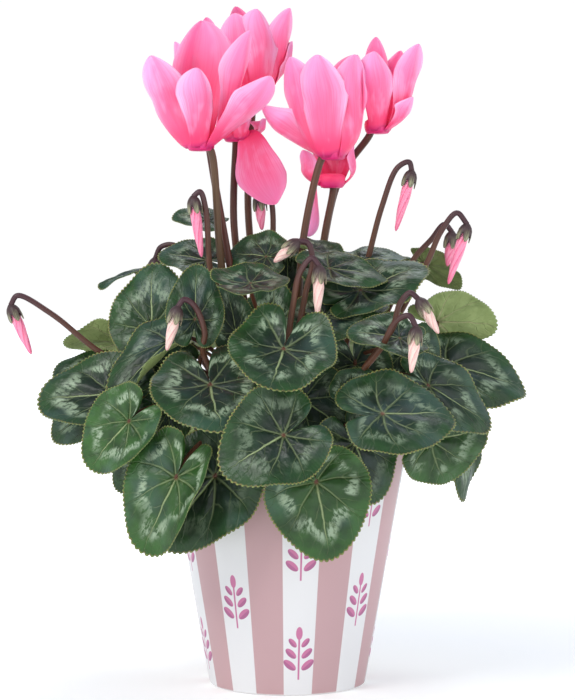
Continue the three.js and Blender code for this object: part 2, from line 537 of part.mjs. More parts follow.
/** The soil: a crumbly top on a plug that fills the nursery pot. */
function soilSolid() {
  const slope = (NURSERY.rimRadius - NURSERY.baseRadius) / NURSERY.height
  const standing = COVER.floor + CLEARANCE
  const bottom = standing + NURSERY.floor + CLEARANCE
  const inside = (z) => NURSERY.baseRadius + slope * (z - standing) - NURSERY.wall - CLEARANCE - 0.45
  const side = (radius, z) => Array.from({ length: SOIL.sides }, () => [radius, z])
  const rings = [side(inside(bottom), bottom)]
  for (let ring = SOIL.rings; ring > 0; ring--) {
    const share = ring / SOIL.rings
    rings.push(Array.from({ length: SOIL.sides }, (_, i) => {
      const crumb = ring === SOIL.rings ? 0 : SOIL.crumb * crumbHeight(ring, i)
      return [inside(SOIL.level) * share, SOIL.level + SOIL.crown * (1 - share * share) + crumb, 0,
        SOIL.level + SOIL.crown]
    }))
  }
  return ringedSolid(new THREE.Vector3(), new THREE.Vector3(0, 0, 1), rings)
}

/** The corm, half sunk in the soil. */
function cormSolid(clearance) {
  const middle = (CORM.top + CORM.bottom) / 2
  const half = (CORM.top - CORM.bottom) / 2 + clearance
  const profile = Array.from({ length: 7 }, (_, i) => {
    const angle = -Math.PI / 2 + (Math.PI * i) / 6
    return new THREE.Vector2(i % 6 ? (CORM.radius + clearance) * Math.cos(angle) : 0, middle + half * Math.sin(angle))
  })
  return solidFromGeometry(new THREE.LatheGeometry(profile, CORM.sides).rotateX(Math.PI / 2))
}

// ---- Assembly -----------------------------------------------------------------------------

const STEM_FOOT = CORM.top - 4
const FOOT = { radius: 3.2, bottom: SOIL.level - 8, top: SOIL.level + 5 }

/** The foot of a leaf stalk on the corm's crown, on the side its blade stands. */
function footOnCorm(leaf) {
  const direction = new THREE.Vector3(leaf.at[0], leaf.at[1], 0).normalize()
  const spread = 0.2 + 0.65 * Math.min(1, Math.hypot(leaf.at[0], leaf.at[1]) / 110)
  return direction.multiplyScalar(spread * CORM.radius).setZ(STEM_FOOT - 3 * spread)
}

/** Every stem that grows from the corm, made thicker by the clearance asked for. */
function stemSolids(leaves, clearance) {
  const leafStalks = leaves.map((leaf) => (
    stemSolid(leafStalkPath(leaf, footOnCorm(leaf)), LEAF_STALK_RADIUS + clearance, 4, 4)))
  const flowerStalks = BLOOMS.map(({ mouth, stem, enter }) => {
    const aside = Math.min(MOUTH_RADIUS, Math.hypot(...enter) + FLOWER_STALK_RADIUS)
    const top = [mouth[0] + enter[0], mouth[1] + enter[1], mouth[2] - MOUTH_SLOPE * aside - 1.5 * SEAT]
    const points = [...stem.map(([x, y, z = STEM_FOOT]) => [x, y, z]), top]
    return stemSolid(throughPoints(points), FLOWER_STALK_RADIUS + clearance, 6, 6)
  })
  const budStalks = BUDS.map(({ path }) => {
    const points = path.map(([x, y, z = STEM_FOOT]) => [x, y, z])
    return stemSolid(new HookedPath(points.map(vec), false, 'centripetal'), BUD_STALK_RADIUS + clearance, 5, 7)
  })
  return [...leafStalks, ...flowerStalks, ...budStalks]
}

/** A round upright peg that stands in the soil. */
function pegSolid([x, y], radius, bottom, top) {
  const peg = new THREE.CylinderGeometry(radius, radius, top - bottom, 6).rotateX(Math.PI / 2)
  return solidFromGeometry(peg.translate(x, y, (top + bottom) / 2))
}

/** A leafy spray: blades on stalks that rise together from one foot. */
function spraySolid({ foot, blades }) {
  const stalks = blades.map((leaf) => {
    const path = leafStalkPath(leaf, new THREE.Vector3(foot[0], foot[1], FOOT.top - 2))
    path.v3 = vec(leaf.at)
    return stemSolid(path, LEAF_STALK_RADIUS, 4, 4)
  })
  return unite([pegSolid(foot, FOOT.radius, FOOT.bottom, FOOT.top), ...stalks,
    ...blades.map((leaf) => bladeSolid(leaf, BLADE_THICKNESS))])
}

/** The end of a bud's stalk and the way its bud hangs. */
function budHang({ path, tip }) {
  const top = vec(path.at(-1))
  const direction = vec(tip).sub(top)
  const length = direction.length()
  return { top, direction: direction.normalize(), length }
}

const plant = new THREE.Group()
const add = (name, solid, finish) => plant.add(meshOf(name, solid, FINISH[finish]))

const cover = potSolid(COVER, 0)
const nursery = potSolid(NURSERY, COVER.floor + CLEARANCE)
const sprays = SPRAYS.map((spray) => ({ ...spray, blades: spray.blades.map((b) => (b.at ? b : compassLeaf(b))) }))
const buds = BUDS.map((bud) => {
  const { top, direction, length } = budHang(bud)
  const start = top.clone().addScaledVector(direction, CALYX.length + CALYX.sepal * 0.65 + CLEARANCE)
  return { ...bud, calyx: calyxSolid(top, direction), solid: budSolid(start, direction, length - CALYX.length - CALYX.sepal * 0.65) }
})

const stems = mainPiece(unite([cormSolid(0), ...stemSolids(LEAVES, 0), ...buds.map(({ calyx }) => calyx)]))
const stemRoom = unite([...stemSolids(LEAVES, CLEARANCE), ...buds.map(({ calyx }) => calyx)])
const soilHoles = unite([cormSolid(CLEARANCE), ...SPRAYS.map(({ foot }) => (
  pegSolid(foot, FOOT.radius + CLEARANCE, FOOT.bottom - CLEARANCE, FOOT.top)))])

add('pot_cover', cover, 'cover')
add('nursery_pot', nursery, 'nursery')
add('corm_with_stems', stems, 'stem')
for (const leaf of LEAVES) add(leaf.name, mainPiece(bladeSolid(leaf, BLADE_THICKNESS).subtract(stemRoom)), 'leaf')
for (const spray of sprays) add(spray.name, mainPiece(spraySolid(spray).subtract(stemRoom), SPRAY_SLIVER), 'leaf')
for (const bloom of BLOOMS) add(bloom.name, mainPiece(bloomSolid(bloom)), 'petal')
for (const bud of buds) add(bud.name, bud.solid, bud.colour)
add('soil', mainPiece(soilSolid().subtract(soilHoles)), 'soil')

export default plant
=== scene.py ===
"""A cyclamen in flower, in its nursery pot inside a striped cover pot, dressed for its picture.

Lengths are in millimetres until a mesh is made, which is in metres. +Z is up and -Y is the front.
"""
from __future__ import annotations

import logging
import math
from dataclasses import dataclass, field
from enum import Enum, IntEnum

import bpy
import numpy as np
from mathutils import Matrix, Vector

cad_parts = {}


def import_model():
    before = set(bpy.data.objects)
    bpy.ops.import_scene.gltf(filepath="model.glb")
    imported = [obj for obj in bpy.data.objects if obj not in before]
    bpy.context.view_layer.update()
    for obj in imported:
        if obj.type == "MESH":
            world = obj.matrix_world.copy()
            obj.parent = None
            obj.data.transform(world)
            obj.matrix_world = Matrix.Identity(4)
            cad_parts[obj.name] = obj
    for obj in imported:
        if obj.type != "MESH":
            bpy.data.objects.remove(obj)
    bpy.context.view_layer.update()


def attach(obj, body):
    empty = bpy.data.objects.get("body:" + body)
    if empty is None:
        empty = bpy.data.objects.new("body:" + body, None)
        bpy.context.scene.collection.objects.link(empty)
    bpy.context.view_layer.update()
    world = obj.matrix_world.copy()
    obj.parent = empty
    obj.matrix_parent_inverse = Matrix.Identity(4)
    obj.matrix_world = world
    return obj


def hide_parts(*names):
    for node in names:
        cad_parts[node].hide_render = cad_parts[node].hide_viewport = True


MM = 0.001
BODY = "root"
LOG = logging.getLogger("cyclamen")

# A range is where something starts and ends, and a ramp adds what it gives at either end.
Row = tuple[float, ...]
Range = tuple[float, float]
Ramp = tuple[float, float, float, float]
Paint = tuple[float, float, float, float]
Face = tuple[int, ...]

UP = np.array([0.0, 0.0, 1.0])
BACKWARDS = np.array([0.0, 1.0, 0.0])
DECIMETRE = 100.0

# Below these a vector has no direction, two directions are parallel, and a bend is straight.
NO_LENGTH = 1e-9
NEARLY_PARALLEL = 1e-3
STRAIGHT = 1e-4

# How many stretches a stalk has from one point of its path to the next, and a calyx's sepals.
STALK_STEPS = 12
SEPALS = 5

# Shared by a leaf's shape and its finish: the angle between two main veins, in radians, and the waves
# of its toothed edge, each with two teeth, all round.
VEIN_SPACING = 0.83
TOOTH_WAVES = 42


# ---- Small mathematics -----------------------------------


def srgb(red: float, green: float, blue: float) -> Paint:
    """A display colour, 0 to 255, as the linear colour that a shader takes.

    Args:
        red: The red share.
        green: The green share.
        blue: The blue share.

    Returns:
        The linear colour with full alpha.
    """
    def linear(value: float) -> float:
        """One channel, made linear."""
        share = value / 255
        return share / 12.92 if share <= 0.04045 else ((share + 0.055) / 1.055) ** 2.4

    return (linear(red), linear(green), linear(blue), 1.0)


def unit(vector: np.ndarray) -> np.ndarray:
    """A vector, or rows of vectors, made one long."""
    return vector / np.linalg.norm(vector, axis=-1, keepdims=True)


def turned(vector: np.ndarray, axis: np.ndarray, angle: float | np.ndarray) -> np.ndarray:
    """Turns a vector about an axis by the right-hand rule.

    Args:
        vector: The vector, or rows of vectors.
        axis: The axis, one long, or one for each row.
        angle: The angle in radians, or one for each row.

    Returns:
        The turned vector or vectors.
    """
    angle = np.asarray(angle, float)[..., None]
    along = np.sum(vector * axis, axis=-1, keepdims=True)
    return (vector * np.cos(angle) + np.cross(axis, vector) * np.sin(angle)
            + axis * along * (1 - np.cos(angle)))


def smoothstep(value: np.ndarray, low: float, high: float) -> np.ndarray:
    """Rises smoothly from 0 at low to 1 at high."""
    share = np.clip((value - low) / (high - low), 0, 1)
    return share * share * (3 - 2 * share)


def bezier(points: list[np.ndarray], share: np.ndarray) -> np.ndarray:
    """Points of a cubic curve.

    Args:
        points: Its four control points.
        share: How far along each point lies, from 0 to 1.

    Returns:
        One row for each share.
    """
    t = share[:, None]
    u = 1 - t
    return (u ** 3 * points[0] + 3 * u * u * t * points[1]
            + 3 * u * t * t * points[2] + t ** 3 * points[3])


def bezier_direction(points: list[np.ndarray], share: np.ndarray) -> np.ndarray:
    """The directions of a cubic curve.

    Args:
        points: Its four control points.
        share: How far along each point lies, from 0 to 1.

    Returns:
        One row for each share, one long.
    """
    t = share[:, None]
    u = 1 - t
    return unit(3 * u * u * (points[1] - points[0]) + 6 * u * t * (points[2] - points[1])
                + 3 * t * t * (points[3] - points[2]))


def through(points: list[Row], steps: int) -> np.ndarray:
    """A smooth centripetal curve through points.

    Args:
        points: What it passes through, in order.
        steps: How many stretches each span is cut into.

    Returns:
        Its points, first and last included.
    """
    given = [np.array(p, float) for p in points]
    given = [2 * given[0] - given[1], *given, 2 * given[-1] - given[-2]]
    t = np.linspace(0, 1, steps, endpoint=False)[:, None]
    rows = []
    for a, b, c, d in zip(given, given[1:], given[2:], given[3:]):
        before, span, after = (math.sqrt(np.linalg.norm(q - p)) for p, q in ((a, b), (b, c), (c, d)))
        start = span * ((b - a) / before - (c - a) / (before + span) + (c - b) / span)
        end = span * ((c - b) / span - (d - b) / (span + after) + (d - c) / after)
        rows.append(b + start * t + (3 * (c - b) - 2 * start - end) * t ** 2
                    + (2 * (b - c) + start + end) * t ** 3)
    return np.vstack([*rows, given[-2]])


def bend(length: np.ndarray, degrees_per_length: np.ndarray) -> tuple[np.ndarray, np.ndarray]:
    """A length bent evenly into an arc.

    Args:
        length: The length, or an array of them.
        degrees_per_length: How sharply it bends.

    Returns:
        How far it goes forward, and how far up.
    """
    degrees = np.where(np.abs(degrees_per_length) < STRAIGHT, STRAIGHT, degrees_per_length)
    curvature = np.radians(degrees)
    return np.sin(curvature * length) / curvature, (1 - np.cos(curvature * length)) / curvature


# ---- Meshes ----------------------------------------------


@dataclass
class Patch:
    """A stretch of mesh and the numbers that its finish reads.

    place holds three numbers for each point, and make three numbers for the whole patch.
    """

    points: np.ndarray
    faces: list[Face]
    finish: int
    place: np.ndarray
    make: Row = (0.0, 0.0, 0.0)


def grid_faces(rows: int, columns: int, closed: bool) -> list[Face]:
    """The faces of a grid of points.

    Args:
        rows: How many rows it has.
        columns: How many points each row has.
        closed: Whether each row's end meets its start.

    Returns:
        Its faces, looking along (next column) x (next row).
    """
    faces = []
    for row in range(rows - 1):
        for column in range(columns if closed else columns - 1):
            after = (column + 1) % columns
            low, high = row * columns, (row + 1) * columns
            faces.append((low + column, low + after, high + after, high + column))
    return faces


def closed_rings(rings: list[np.ndarray], first: Row | np.ndarray,
                 last: Row | np.ndarray) -> tuple[np.ndarray, list[Face]]:
    """A skin over rings of points, closed at both ends by a fan of triangles.

    Args:
        rings: The rings, each with as many points.
        first: The middle of the fan before the first ring.
        last: The middle of the fan after the last ring.

    Returns:
        The points of the rings and then the two middles, and the faces.
    """
    columns = len(rings[0])
    faces = grid_faces(len(rings), columns, True)
    end = len(rings) * columns
    for column in range(columns):
        after = (column + 1) % columns
        faces.append((after, column, end))
        faces.append((end - columns + column, end - columns + after, end + 1))
    return np.vstack([*rings, first, last]), faces


def sheet_patch(sheet: np.ndarray, thickness: np.ndarray, finish: int, place: np.ndarray,
                make: Row) -> Patch:
    """A closed thin piece made from a grid of points, with two faces and a rim between them.

    Args:
        sheet: Its middle surface, as rows x columns x 3.
        thickness: How thick it is at each point.
        finish: The number of its finish.
        place: Each point's numbers for the finish, as rows x columns x 3.
        make: Three numbers for the finish that hold for the whole piece.

    Returns:
        The patch. On the under side the third place number n has become -1 - n.
    """
    rows, columns = sheet.shape[:2]
    normal = np.cross(np.gradient(sheet, axis=1), np.gradient(sheet, axis=0))
    size = np.linalg.norm(normal, axis=2, keepdims=True)
    normal = np.where(size > NO_LENGTH, normal / np.maximum(size, NO_LENGTH), 0)
    without = size[..., 0] <= NO_LENGTH
    if without.any():
        normal[without] = unit(normal[~without].mean(axis=0))
    half = normal * thickness[..., None] / 2
    points = np.vstack([(sheet + half).reshape(-1, 3), (sheet - half).reshape(-1, 3)])
    count = rows * columns
    upper = grid_faces(rows, columns, False)
    faces = upper + [tuple(count + i for i in reversed(corners)) for corners in upper]
    rim = (list(range(columns)) + [r * columns + columns - 1 for r in range(1, rows)]
           + [(rows - 1) * columns + c for c in range(columns - 2, -1, -1)]
           + [r * columns for r in range(rows - 2, 0, -1)])
    for a, b in zip(rim, rim[1:] + rim[:1]):
        faces.append((b, a, a + count, b + count))
    below = place.copy()
    below[..., 2] = -1 - below[..., 2]
    return Patch(points, faces, finish, np.vstack([place.reshape(-1, 3), below.reshape(-1, 3)]), make)


def tube_patch(line: np.ndarray, radius: np.ndarray, sides: int, finish: int, make: Row) -> Patch:
    """A stalk round a line, closed and rounded at both ends.

    Args:
        line: The points of its middle line.
        radius: How thick it is at each of them.
        sides: How many sides it has.
        finish: The number of its finish.
        make: Three numbers for the finish that hold for the whole stalk.

    Returns:
        The patch. Its places are the share of the way along, the angle round it, and the height in
        decimetres.
    """
    cap = 0.35
    direction = unit(np.gradient(line, axis=0))
    side = np.cross(direction[0], BACKWARDS)
    side = unit(side if np.linalg.norm(side) > NEARLY_PARALLEL else np.array([1.0, 0.0, 0.0]))
    angle = np.linspace(0, 2 * math.pi, sides, endpoint=False)
    rings, places = [], []
    for point, ahead, r, share in zip(line, direction, radius, np.linspace(0, 1, len(line))):
        side = unit(side - ahead * np.dot(side, ahead))
        other = np.cross(ahead, side)
        ring = point + r * (np.cos(angle)[:, None] * side + np.sin(angle)[:, None] * other)
        rings.append(ring)
        places.append(np.stack([np.full(sides, share), angle, ring[:, 2] / DECIMETRE], axis=1))
    first = line[0] - direction[0] * radius[0] * cap
    last = line[-1] + direction[-1] * radius[-1] * cap
    points, faces = closed_rings(rings, first, last)
    place = np.vstack([*places, (0, 0, first[2] / DECIMETRE), (1, 0, last[2] / DECIMETRE)])
    return Patch(points, faces, finish, place, make)


def turned_patch(profile: list[Range] | tuple[Range, ...], sides: int, finish: int,
                 swell: float = 0.0, lobes: int = 5) -> Patch:
    """A closed solid of revolution about Z.

    Args:
        profile: Radius and height from the axis below, round the outside, to the axis again.
        sides: How many sides it has.
        finish: The number of its finish.
        swell: How much its radius rises and falls round it, as a share.
        lobes: How many times it does so.

    Returns:
        The patch, with the radius, the angle and the height as its places.
    """
    angle = np.linspace(0, 2 * math.pi, sides, endpoint=False)
    wave = 1 + swell * np.cos(lobes * angle)
    rings = [np.stack([r * wave * np.cos(angle), r * wave * np.sin(angle), np.full(sides, z)], axis=1)
             for r, z in profile[1:-1]]
    points, faces = closed_rings(rings, (0, 0, profile[0][1]), (0, 0, profile[-1][1]))
    x, y, z = points.T
    return Patch(points, faces, finish, np.stack([np.hypot(x, y), np.arctan2(y, x), z], axis=1))


def make_piece(name: str, patches: list[Patch], materials: list[bpy.types.Material],
               node: str) -> None:
    """Joins patches into one piece that stands for a node of the frame.

    Args:
        name: The piece's name.
        patches: What it is made of, in millimetres.
        materials: Its materials, in the order of the patches' finish numbers.
        node: The node that it stands for.
    """
    faces, finishes, start = [], [], 0
    for patch in patches:
        faces += [tuple(start + i for i in corners) for corners in patch.faces]
        finishes += [patch.finish] * len(patch.faces)
        start += len(patch.points)
    points = np.vstack([patch.points for patch in patches])
    place = np.vstack([patch.place for patch in patches])
    make = np.vstack([np.tile(np.array(patch.make, float), (len(patch.points), 1)) for patch in patches])
    mesh = bpy.data.meshes.new(name)
    mesh.from_pydata((points * MM).tolist(), [], faces)
    mesh.polygons.foreach_set("material_index", finishes)
    mesh.polygons.foreach_set("use_smooth", [True] * len(faces))
    for attribute, values in (("place", place), ("make", make)):
        data = mesh.attributes.new(attribute, "FLOAT_VECTOR", "POINT").data
        data.foreach_set("vector", values.astype(np.float32).ravel())
    for material in materials:
        mesh.materials.append(material)
    mesh.update()
    piece = bpy.data.objects.new(name, mesh)
    bpy.context.scene.collection.objects.link(piece)
    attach(piece, BODY)
    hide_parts(node)
    LOG.info("%s: %d faces, for %s", name, len(faces), node)


# ---- Finishes --------------------------------------------

Socket = bpy.types.NodeSocket


class Number:
    """A number that a material's nodes work out for each point, with the usual arithmetic."""

    def __init__(self, graph: Graph, socket: Socket) -> None:
        """Takes an output of one of the graph's nodes.

        Args:
            graph: The graph.
            socket: The output.
        """
        self.graph = graph
        self.socket = socket

    def __add__(self, other: Value) -> Number:
        """This number and the other together."""
        return self.graph.math("ADD", self, other)

    def __radd__(self, other: float) -> Number:
        """The other number and this one together."""
        return self.graph.math("ADD", other, self)

    def __sub__(self, other: Value) -> Number:
        """This number less the other."""
        return self.graph.math("SUBTRACT", self, other)

    def __rsub__(self, other: float) -> Number:
        """The other number less this one."""
        return self.graph.math("SUBTRACT", other, self)

    def __mul__(self, other: Value) -> Number:
        """This number times the other."""
        return self.graph.math("MULTIPLY", self, other)

    def __truediv__(self, other: Value) -> Number:
        """This number divided by the other."""
        return self.graph.math("DIVIDE", self, other)

    def __abs__(self) -> Number:
        """This number without its sign."""
        return self.graph.math("ABSOLUTE", self)


Value = float | Number
Tint = Paint | Socket


class Graph:
    """A material's nodes, built by short calls."""

    def __init__(self, name: str) -> None:
        """Starts a material.

        Args:
            name: The material's name.
        """
        self.material = bpy.data.materials.new(name)
        self.material.use_nodes = True
        self.tree = self.material.node_tree
        self.shader = self.tree.nodes["Principled BSDF"]

    def set(self, socket: str, value: Value | Tint | Row) -> None:
        """Sets or links one of the shader's sockets.

        Args:
            socket: Its name.
            value: The value, or what feeds it.
        """
        self.feed(self.shader.inputs[socket], value)

    def feed(self, target: Socket, value: Value | Tint | Row) -> None:
        """Sets or links an input.

        Args:
            target: The input.
            value: The value, or what feeds it.
        """
        source = value.socket if isinstance(value, Number) else value
        if isinstance(source, bpy.types.NodeSocket):
            self.tree.links.new(source, target)
        else:
            target.default_value = source

    def math(self, operation: str, *values: Value) -> Number:
        """Works out one number from others.

        Args:
            operation: Blender's name of what is done.
            values: What goes in.

        Returns:
            What comes out.
        """
        node = self.tree.nodes.new("ShaderNodeMath")
        node.operation = operation
        for target, value in zip(node.inputs, values):
            self.feed(target, value)
        return Number(self, node.outputs[0])

    def distance(self, x: Number, y: Number) -> Number:
        """How far a point is from where x and y are 0."""
        return self.math("SQRT", x * x + y * y)

    def step(self, value: Number, low: float, high: float, start: float = 0.0,
             end: float = 1.0) -> Number:
        """A smooth rise or fall.

        Args:
            value: What is read.
            low: Where it starts.
            high: Where it ends.
            start: What comes out at and before low.
            end: What comes out at and after high.

        Returns:
            What comes out.
        """
        node = self.tree.nodes.new("ShaderNodeMapRange")
        node.interpolation_type = "SMOOTHSTEP"
        for key, number in (("From Min", low), ("From Max", high), ("To Min", start), ("To Max", end)):
            node.inputs[key].default_value = number
        self.feed(node.inputs["Value"], value)
        return Number(self, node.outputs["Result"])

    def mix(self, factor: Value, first: Tint, second: Tint) -> Socket:
        """Mixes two colours.

        Args:
            factor: The second one's share.
            first: The first colour.
            second: The second colour.

        Returns:
            The mixed colour.
        """
        node = self.tree.nodes.new("ShaderNodeMix")
        node.data_type = "RGBA"
        self.feed(node.inputs["Factor"], factor)
        colours = [socket for socket in node.inputs if socket.type == "RGBA"]
        self.feed(colours[0], first)
        self.feed(colours[1], second)
        return next(socket for socket in node.outputs if socket.type == "RGBA")

    def choose(self, factor: Number, first: Number, second: Number) -> Number:
        """Blends two numbers.

        Args:
            factor: The second one's share.
            first: The first number.
            second: The second number.

        Returns:
            The blend.
        """
        node = self.tree.nodes.new("ShaderNodeMix")
        node.data_type = "FLOAT"
        share, _, low, high = node.inputs[:4]
        for target, value in ((share, factor), (low, first), (high, second)):
            self.feed(target, value)
        return Number(self, node.outputs[0])

    def vector(self, x: Value, y: Value, z: Value) -> Socket:
        """Puts three numbers together.

        Args:
            x: The first.
            y: The second.
            z: The third.

        Returns:
            The vector.
        """
        node = self.tree.nodes.new("ShaderNodeCombineXYZ")
        for target, value in zip(node.inputs, (x, y, z)):
            self.feed(target, value)
        return node.outputs[0]

    def split(self, vector: Socket) -> list[Number]:
        """Takes a vector apart.

        Args:
            vector: The vector.

        Returns:
            Its three numbers.
        """
        node = self.tree.nodes.new("ShaderNodeSeparateXYZ")
        self.feed(node.inputs[0], vector)
        return [Number(self, socket) for socket in node.outputs]

    def parts(self, attribute: str) -> list[Number]:
        """Reads one of the mesh's attributes.

        Args:
            attribute: Its name.

        Returns:
            Its three numbers.
        """
        node = self.tree.nodes.new("ShaderNodeAttribute")
        node.attribute_name = attribute
        return self.split(node.outputs["Vector"])

    def position(self) -> Socket:
        """The place on the object, in metres."""
        return self.tree.nodes.new("ShaderNodeTexCoord").outputs["Object"]

    def noise(self, where: Socket, scale: float, detail: float = 2.0, roughness: float = 0.5) -> Number:
        """Soft irregular variation, about 0.5.

        Args:
            where: The coordinates.
            scale: How fine it is.
            detail: How many finer layers it has.
            roughness: How strong they are.

        Returns:
            Its value.
        """
        node = self.tree.nodes.new("ShaderNodeTexNoise")
        for key, number in (("Scale", scale), ("Detail", detail), ("Roughness", roughness)):
            node.inputs[key].default_value = number
        self.feed(node.inputs["Vector"], where)
        return Number(self, node.outputs[0])

    def cells(self, where: Socket, scale: float) -> Number:
        """The distance to the middle of the nearest of many cells.

        Args:
            where: The coordinates.
            scale: How fine the cells are.

        Returns:
            Its value.
        """
        node = self.tree.nodes.new("ShaderNodeTexVoronoi")
        node.inputs["Scale"].default_value = scale
        self.feed(node.inputs["Vector"], where)
        return Number(self, node.outputs["Distance"])

    def relief(self, height: Number, distance: float, strength: float) -> None:
        """Raises and sinks the surface.

        Args:
            height: How high, from 0 to 1.
            distance: What 1 stands for, in metres.
            strength: How strongly it shows.
        """
        node = self.tree.nodes.new("ShaderNodeBump")
        node.inputs["Strength"].default_value = strength
        node.inputs["Distance"].default_value = distance
        self.feed(node.inputs["Height"], height)
        self.set("Normal", node.outputs["Normal"])


@dataclass(frozen=True)
class BladeSpot:
    """Where a point lies on a leaf blade, as the leaf's finish reads it.

    angle is counted from the tip, radius from the stalk, and share is the way to the edge. seed differs
    from leaf to leaf, drift is a slow irregular variation, and where holds noise coordinates.
    """

    angle: Number
    radius: Number
    share: Number
    seed: Number
    drift: Number
    where: Socket


@dataclass(frozen=True)
class LeafFinish:
    """The marbled upper side and the pale under side of a leaf blade."""

    heart: Paint = srgb(19, 38, 26)
    middle: Paint = srgb(28, 55, 27)
    outer: Paint = srgb(36, 70, 32)
    shade: Paint = srgb(15, 29, 18)
    vein: Paint = srgb(150, 166, 118)
    silver: Paint = srgb(148, 168, 140)
    rim: Paint = srgb(146, 158, 84)
    rim_dot: Paint = srgb(112, 72, 48)
    stain: Paint = srgb(120, 62, 54)
    # A painted bluish sheen that stands for the sky's reflection, laid into the colour in patches.
    painted_sheen: Paint = srgb(66, 92, 90)
    young: Paint = srgb(68, 118, 44)
    speck: Paint = srgb(200, 208, 196)
    under: Paint = srgb(142, 158, 100)
    under_vein: Paint = srgb(176, 168, 128)
    under_shade: Paint = srgb(108, 128, 70)
    heart_to_middle: Range = (0.3, 0.62)
    middle_to_outer: Range = (0.62, 0.9)
    silver_from: Range = (0.52, 0.6)
    silver_until: Range = (0.68, 0.8)
    silver_streaks: Range = (0.38, 0.56)
    silver_patches: Range = (0.34, 0.52)
    silver_off_vein: Ramp = (0.03, 0.1, 0.35, 1.0)
    silver_ragged: float = 0.22
    rim_from: Range = (0.966, 0.988)
    rim_strength: Ramp = (0.35, 0.6, 0.5, 0.9)
    rim_dots: Ramp = (0.75, 0.95, 0.6, 0.0)
    stain_reach: Ramp = (0.01, 0.045, 0.7, 0.0)
    speck_reach: Ramp = (0.025, 0.05, 0.5, 0.0)
    shade_patches: Ramp = (0.35, 0.75, 0.0, 0.6)
    painted_sheen_patches: Ramp = (0.5, 0.68, 0.0, 0.34)
    under_patches: Ramp = (0.3, 0.7, 0.0, 0.5)
    under_vein_strength: float = 0.6
    young_strength: float = 0.75
    midrib: Ramp = (0.12, 0.4, 0.85, 0.36)
    vein_fade: Ramp = (0.45, 0.97, 1.0, 0.15)
    branch_fade: Ramp = (0.2, 0.95, 0.2, 0.06)
    branch_line: Range = (0.02, 0.09)
    branch_reach: Ramp = (0.3, 0.46, 1.0, 0.0)
    vein_width: float = 0.014
    vein_sweep: float = 0.32
    branches: float = 5.0
    wander: float = 0.3
    gloss: float = 0.38
    relief_depth: float = 0.0008

    def build(self) -> bpy.types.Material:
        """Makes the material.

        Its places are the distance across and along the blade and the share of the way to the edge.
        Its make numbers are a seed, the silver's strength and the paleness of a young leaf.

        Returns:
            The material.
        """
        g = Graph("leaf_blade")
        x, y, signed = g.parts("place")
        seed, silvering, youth = g.parts("make")
        beneath = g.math("LESS_THAN", signed, -0.5)
        share = g.choose(beneath, signed, -1.0 - signed)
        where = g.vector(x, y, seed * 7.0)
        drift = g.noise(where, 2.2, 3.0) - 0.5
        spot = BladeSpot(g.math("ARCTAN2", x, y), g.distance(x, y), share, seed, drift, where)
        main, offset, aside = self.main_veins(g, spot)
        branch = self.branch_veins(g, spot, offset, aside)
        silver = self.marbling(g, spot, offset) * silvering
        tone = g.noise(where, 4.0, 3.0)
        colour = self.ground(g, spot, tone, youth)
        colour = g.mix(silver, colour, self.silver)
        colour = g.mix(branch * g.step(share, *self.branch_fade), colour, self.vein)
        midrib = g.step(abs(spot.angle), *self.midrib)
        fade = g.step(share, *self.vein_fade)
        colour = g.mix(main * (midrib * fade), colour, self.vein)
        colour = self.trim(g, spot, tone, colour)
        pale = g.mix(main * self.under_vein_strength, self.under, self.under_vein)
        pale = g.mix(g.step(tone, *self.under_patches), pale, self.under_shade)
        g.set("Base Color", g.mix(beneath, colour, pale))
        g.set("Roughness", 0.3 + (tone * 0.2 + beneath * 0.3))
        g.set("Specular IOR Level", self.gloss)
        g.relief(g.noise(where, 9.0) - main * 0.7 - branch * 0.3, self.relief_depth, 0.8)
        return g.material

    def ground(self, g: Graph, spot: BladeSpot, tone: Number, youth: Number) -> Socket:
        """The greens under the silver: dark in the heart, lighter outwards, with painted shade in some
        patches and a painted bluish sheen, standing for the sky's reflection, in others.

        Args:
            g: The graph.
            spot: Where the point lies.
            tone: Fine irregular variation.
            youth: How pale the leaf is, as a young one.

        Returns:
            The colour.
        """
        reach = spot.share + spot.drift * self.wander
        colour = g.mix(g.step(reach, *self.heart_to_middle), self.heart, self.middle)
        colour = g.mix(g.step(reach, *self.middle_to_outer), colour, self.outer)
        colour = g.mix(youth * self.young_strength, colour, self.young)
        colour = g.mix(g.step(tone, *self.shade_patches), colour, self.shade)
        # Painted sheen: bluish patches that stand for the reflection of the sky.
        sheen_cloud = g.noise(spot.where, 1.5)
        return g.mix(g.step(sheen_cloud, *self.painted_sheen_patches), colour, self.painted_sheen)

    def trim(self, g: Graph, spot: BladeSpot, tone: Number, colour: Socket) -> Socket:
        """Adds the toothed rim, the stain where the stalk joins and the pale specks.

        Args:
            g: The graph.
            spot: Where the point lies.
            tone: Fine irregular variation.
            colour: The blade's colour.

        Returns:
            The colour with them.
        """
        tooth = abs(g.math("SINE", spot.angle * TOOTH_WAVES))
        rim = g.mix(g.step(tooth, *self.rim_dots), self.rim, self.rim_dot)
        at_rim = g.step(spot.share, *self.rim_from) * g.step(tone, *self.rim_strength)
        colour = g.mix(at_rim, colour, rim)
        colour = g.mix(g.step(spot.radius, *self.stain_reach), colour, self.stain)
        speck = g.cells(spot.where, 30.0)
        return g.mix(g.step(speck, *self.speck_reach), colour, self.speck)

    def main_veins(self, g: Graph, spot: BladeSpot) -> tuple[Number, Number, Number]:
        """The veins that fan out from the stalk.

        Args:
            g: The graph.
            spot: Where the point lies.

        Returns:
            Where they are, how far a point is from the nearest as a share of their spacing, and in length.
        """
        sweep = spot.radius * g.math("SINE", spot.angle) * self.vein_sweep
        swept = spot.angle + sweep + spot.drift * self.wander
        # The half puts a vein on the middle line, and the whole number keeps the sum above 0.
        sector = g.math("FRACT", swept / VEIN_SPACING + 20.5)
        offset = abs(sector - 0.5)
        aside = offset * VEIN_SPACING * spot.radius
        width = (1.2 - spot.share) * self.vein_width
        main = 1.0 - g.step(aside / width, 0.5, 1.8)
        return main, offset, aside

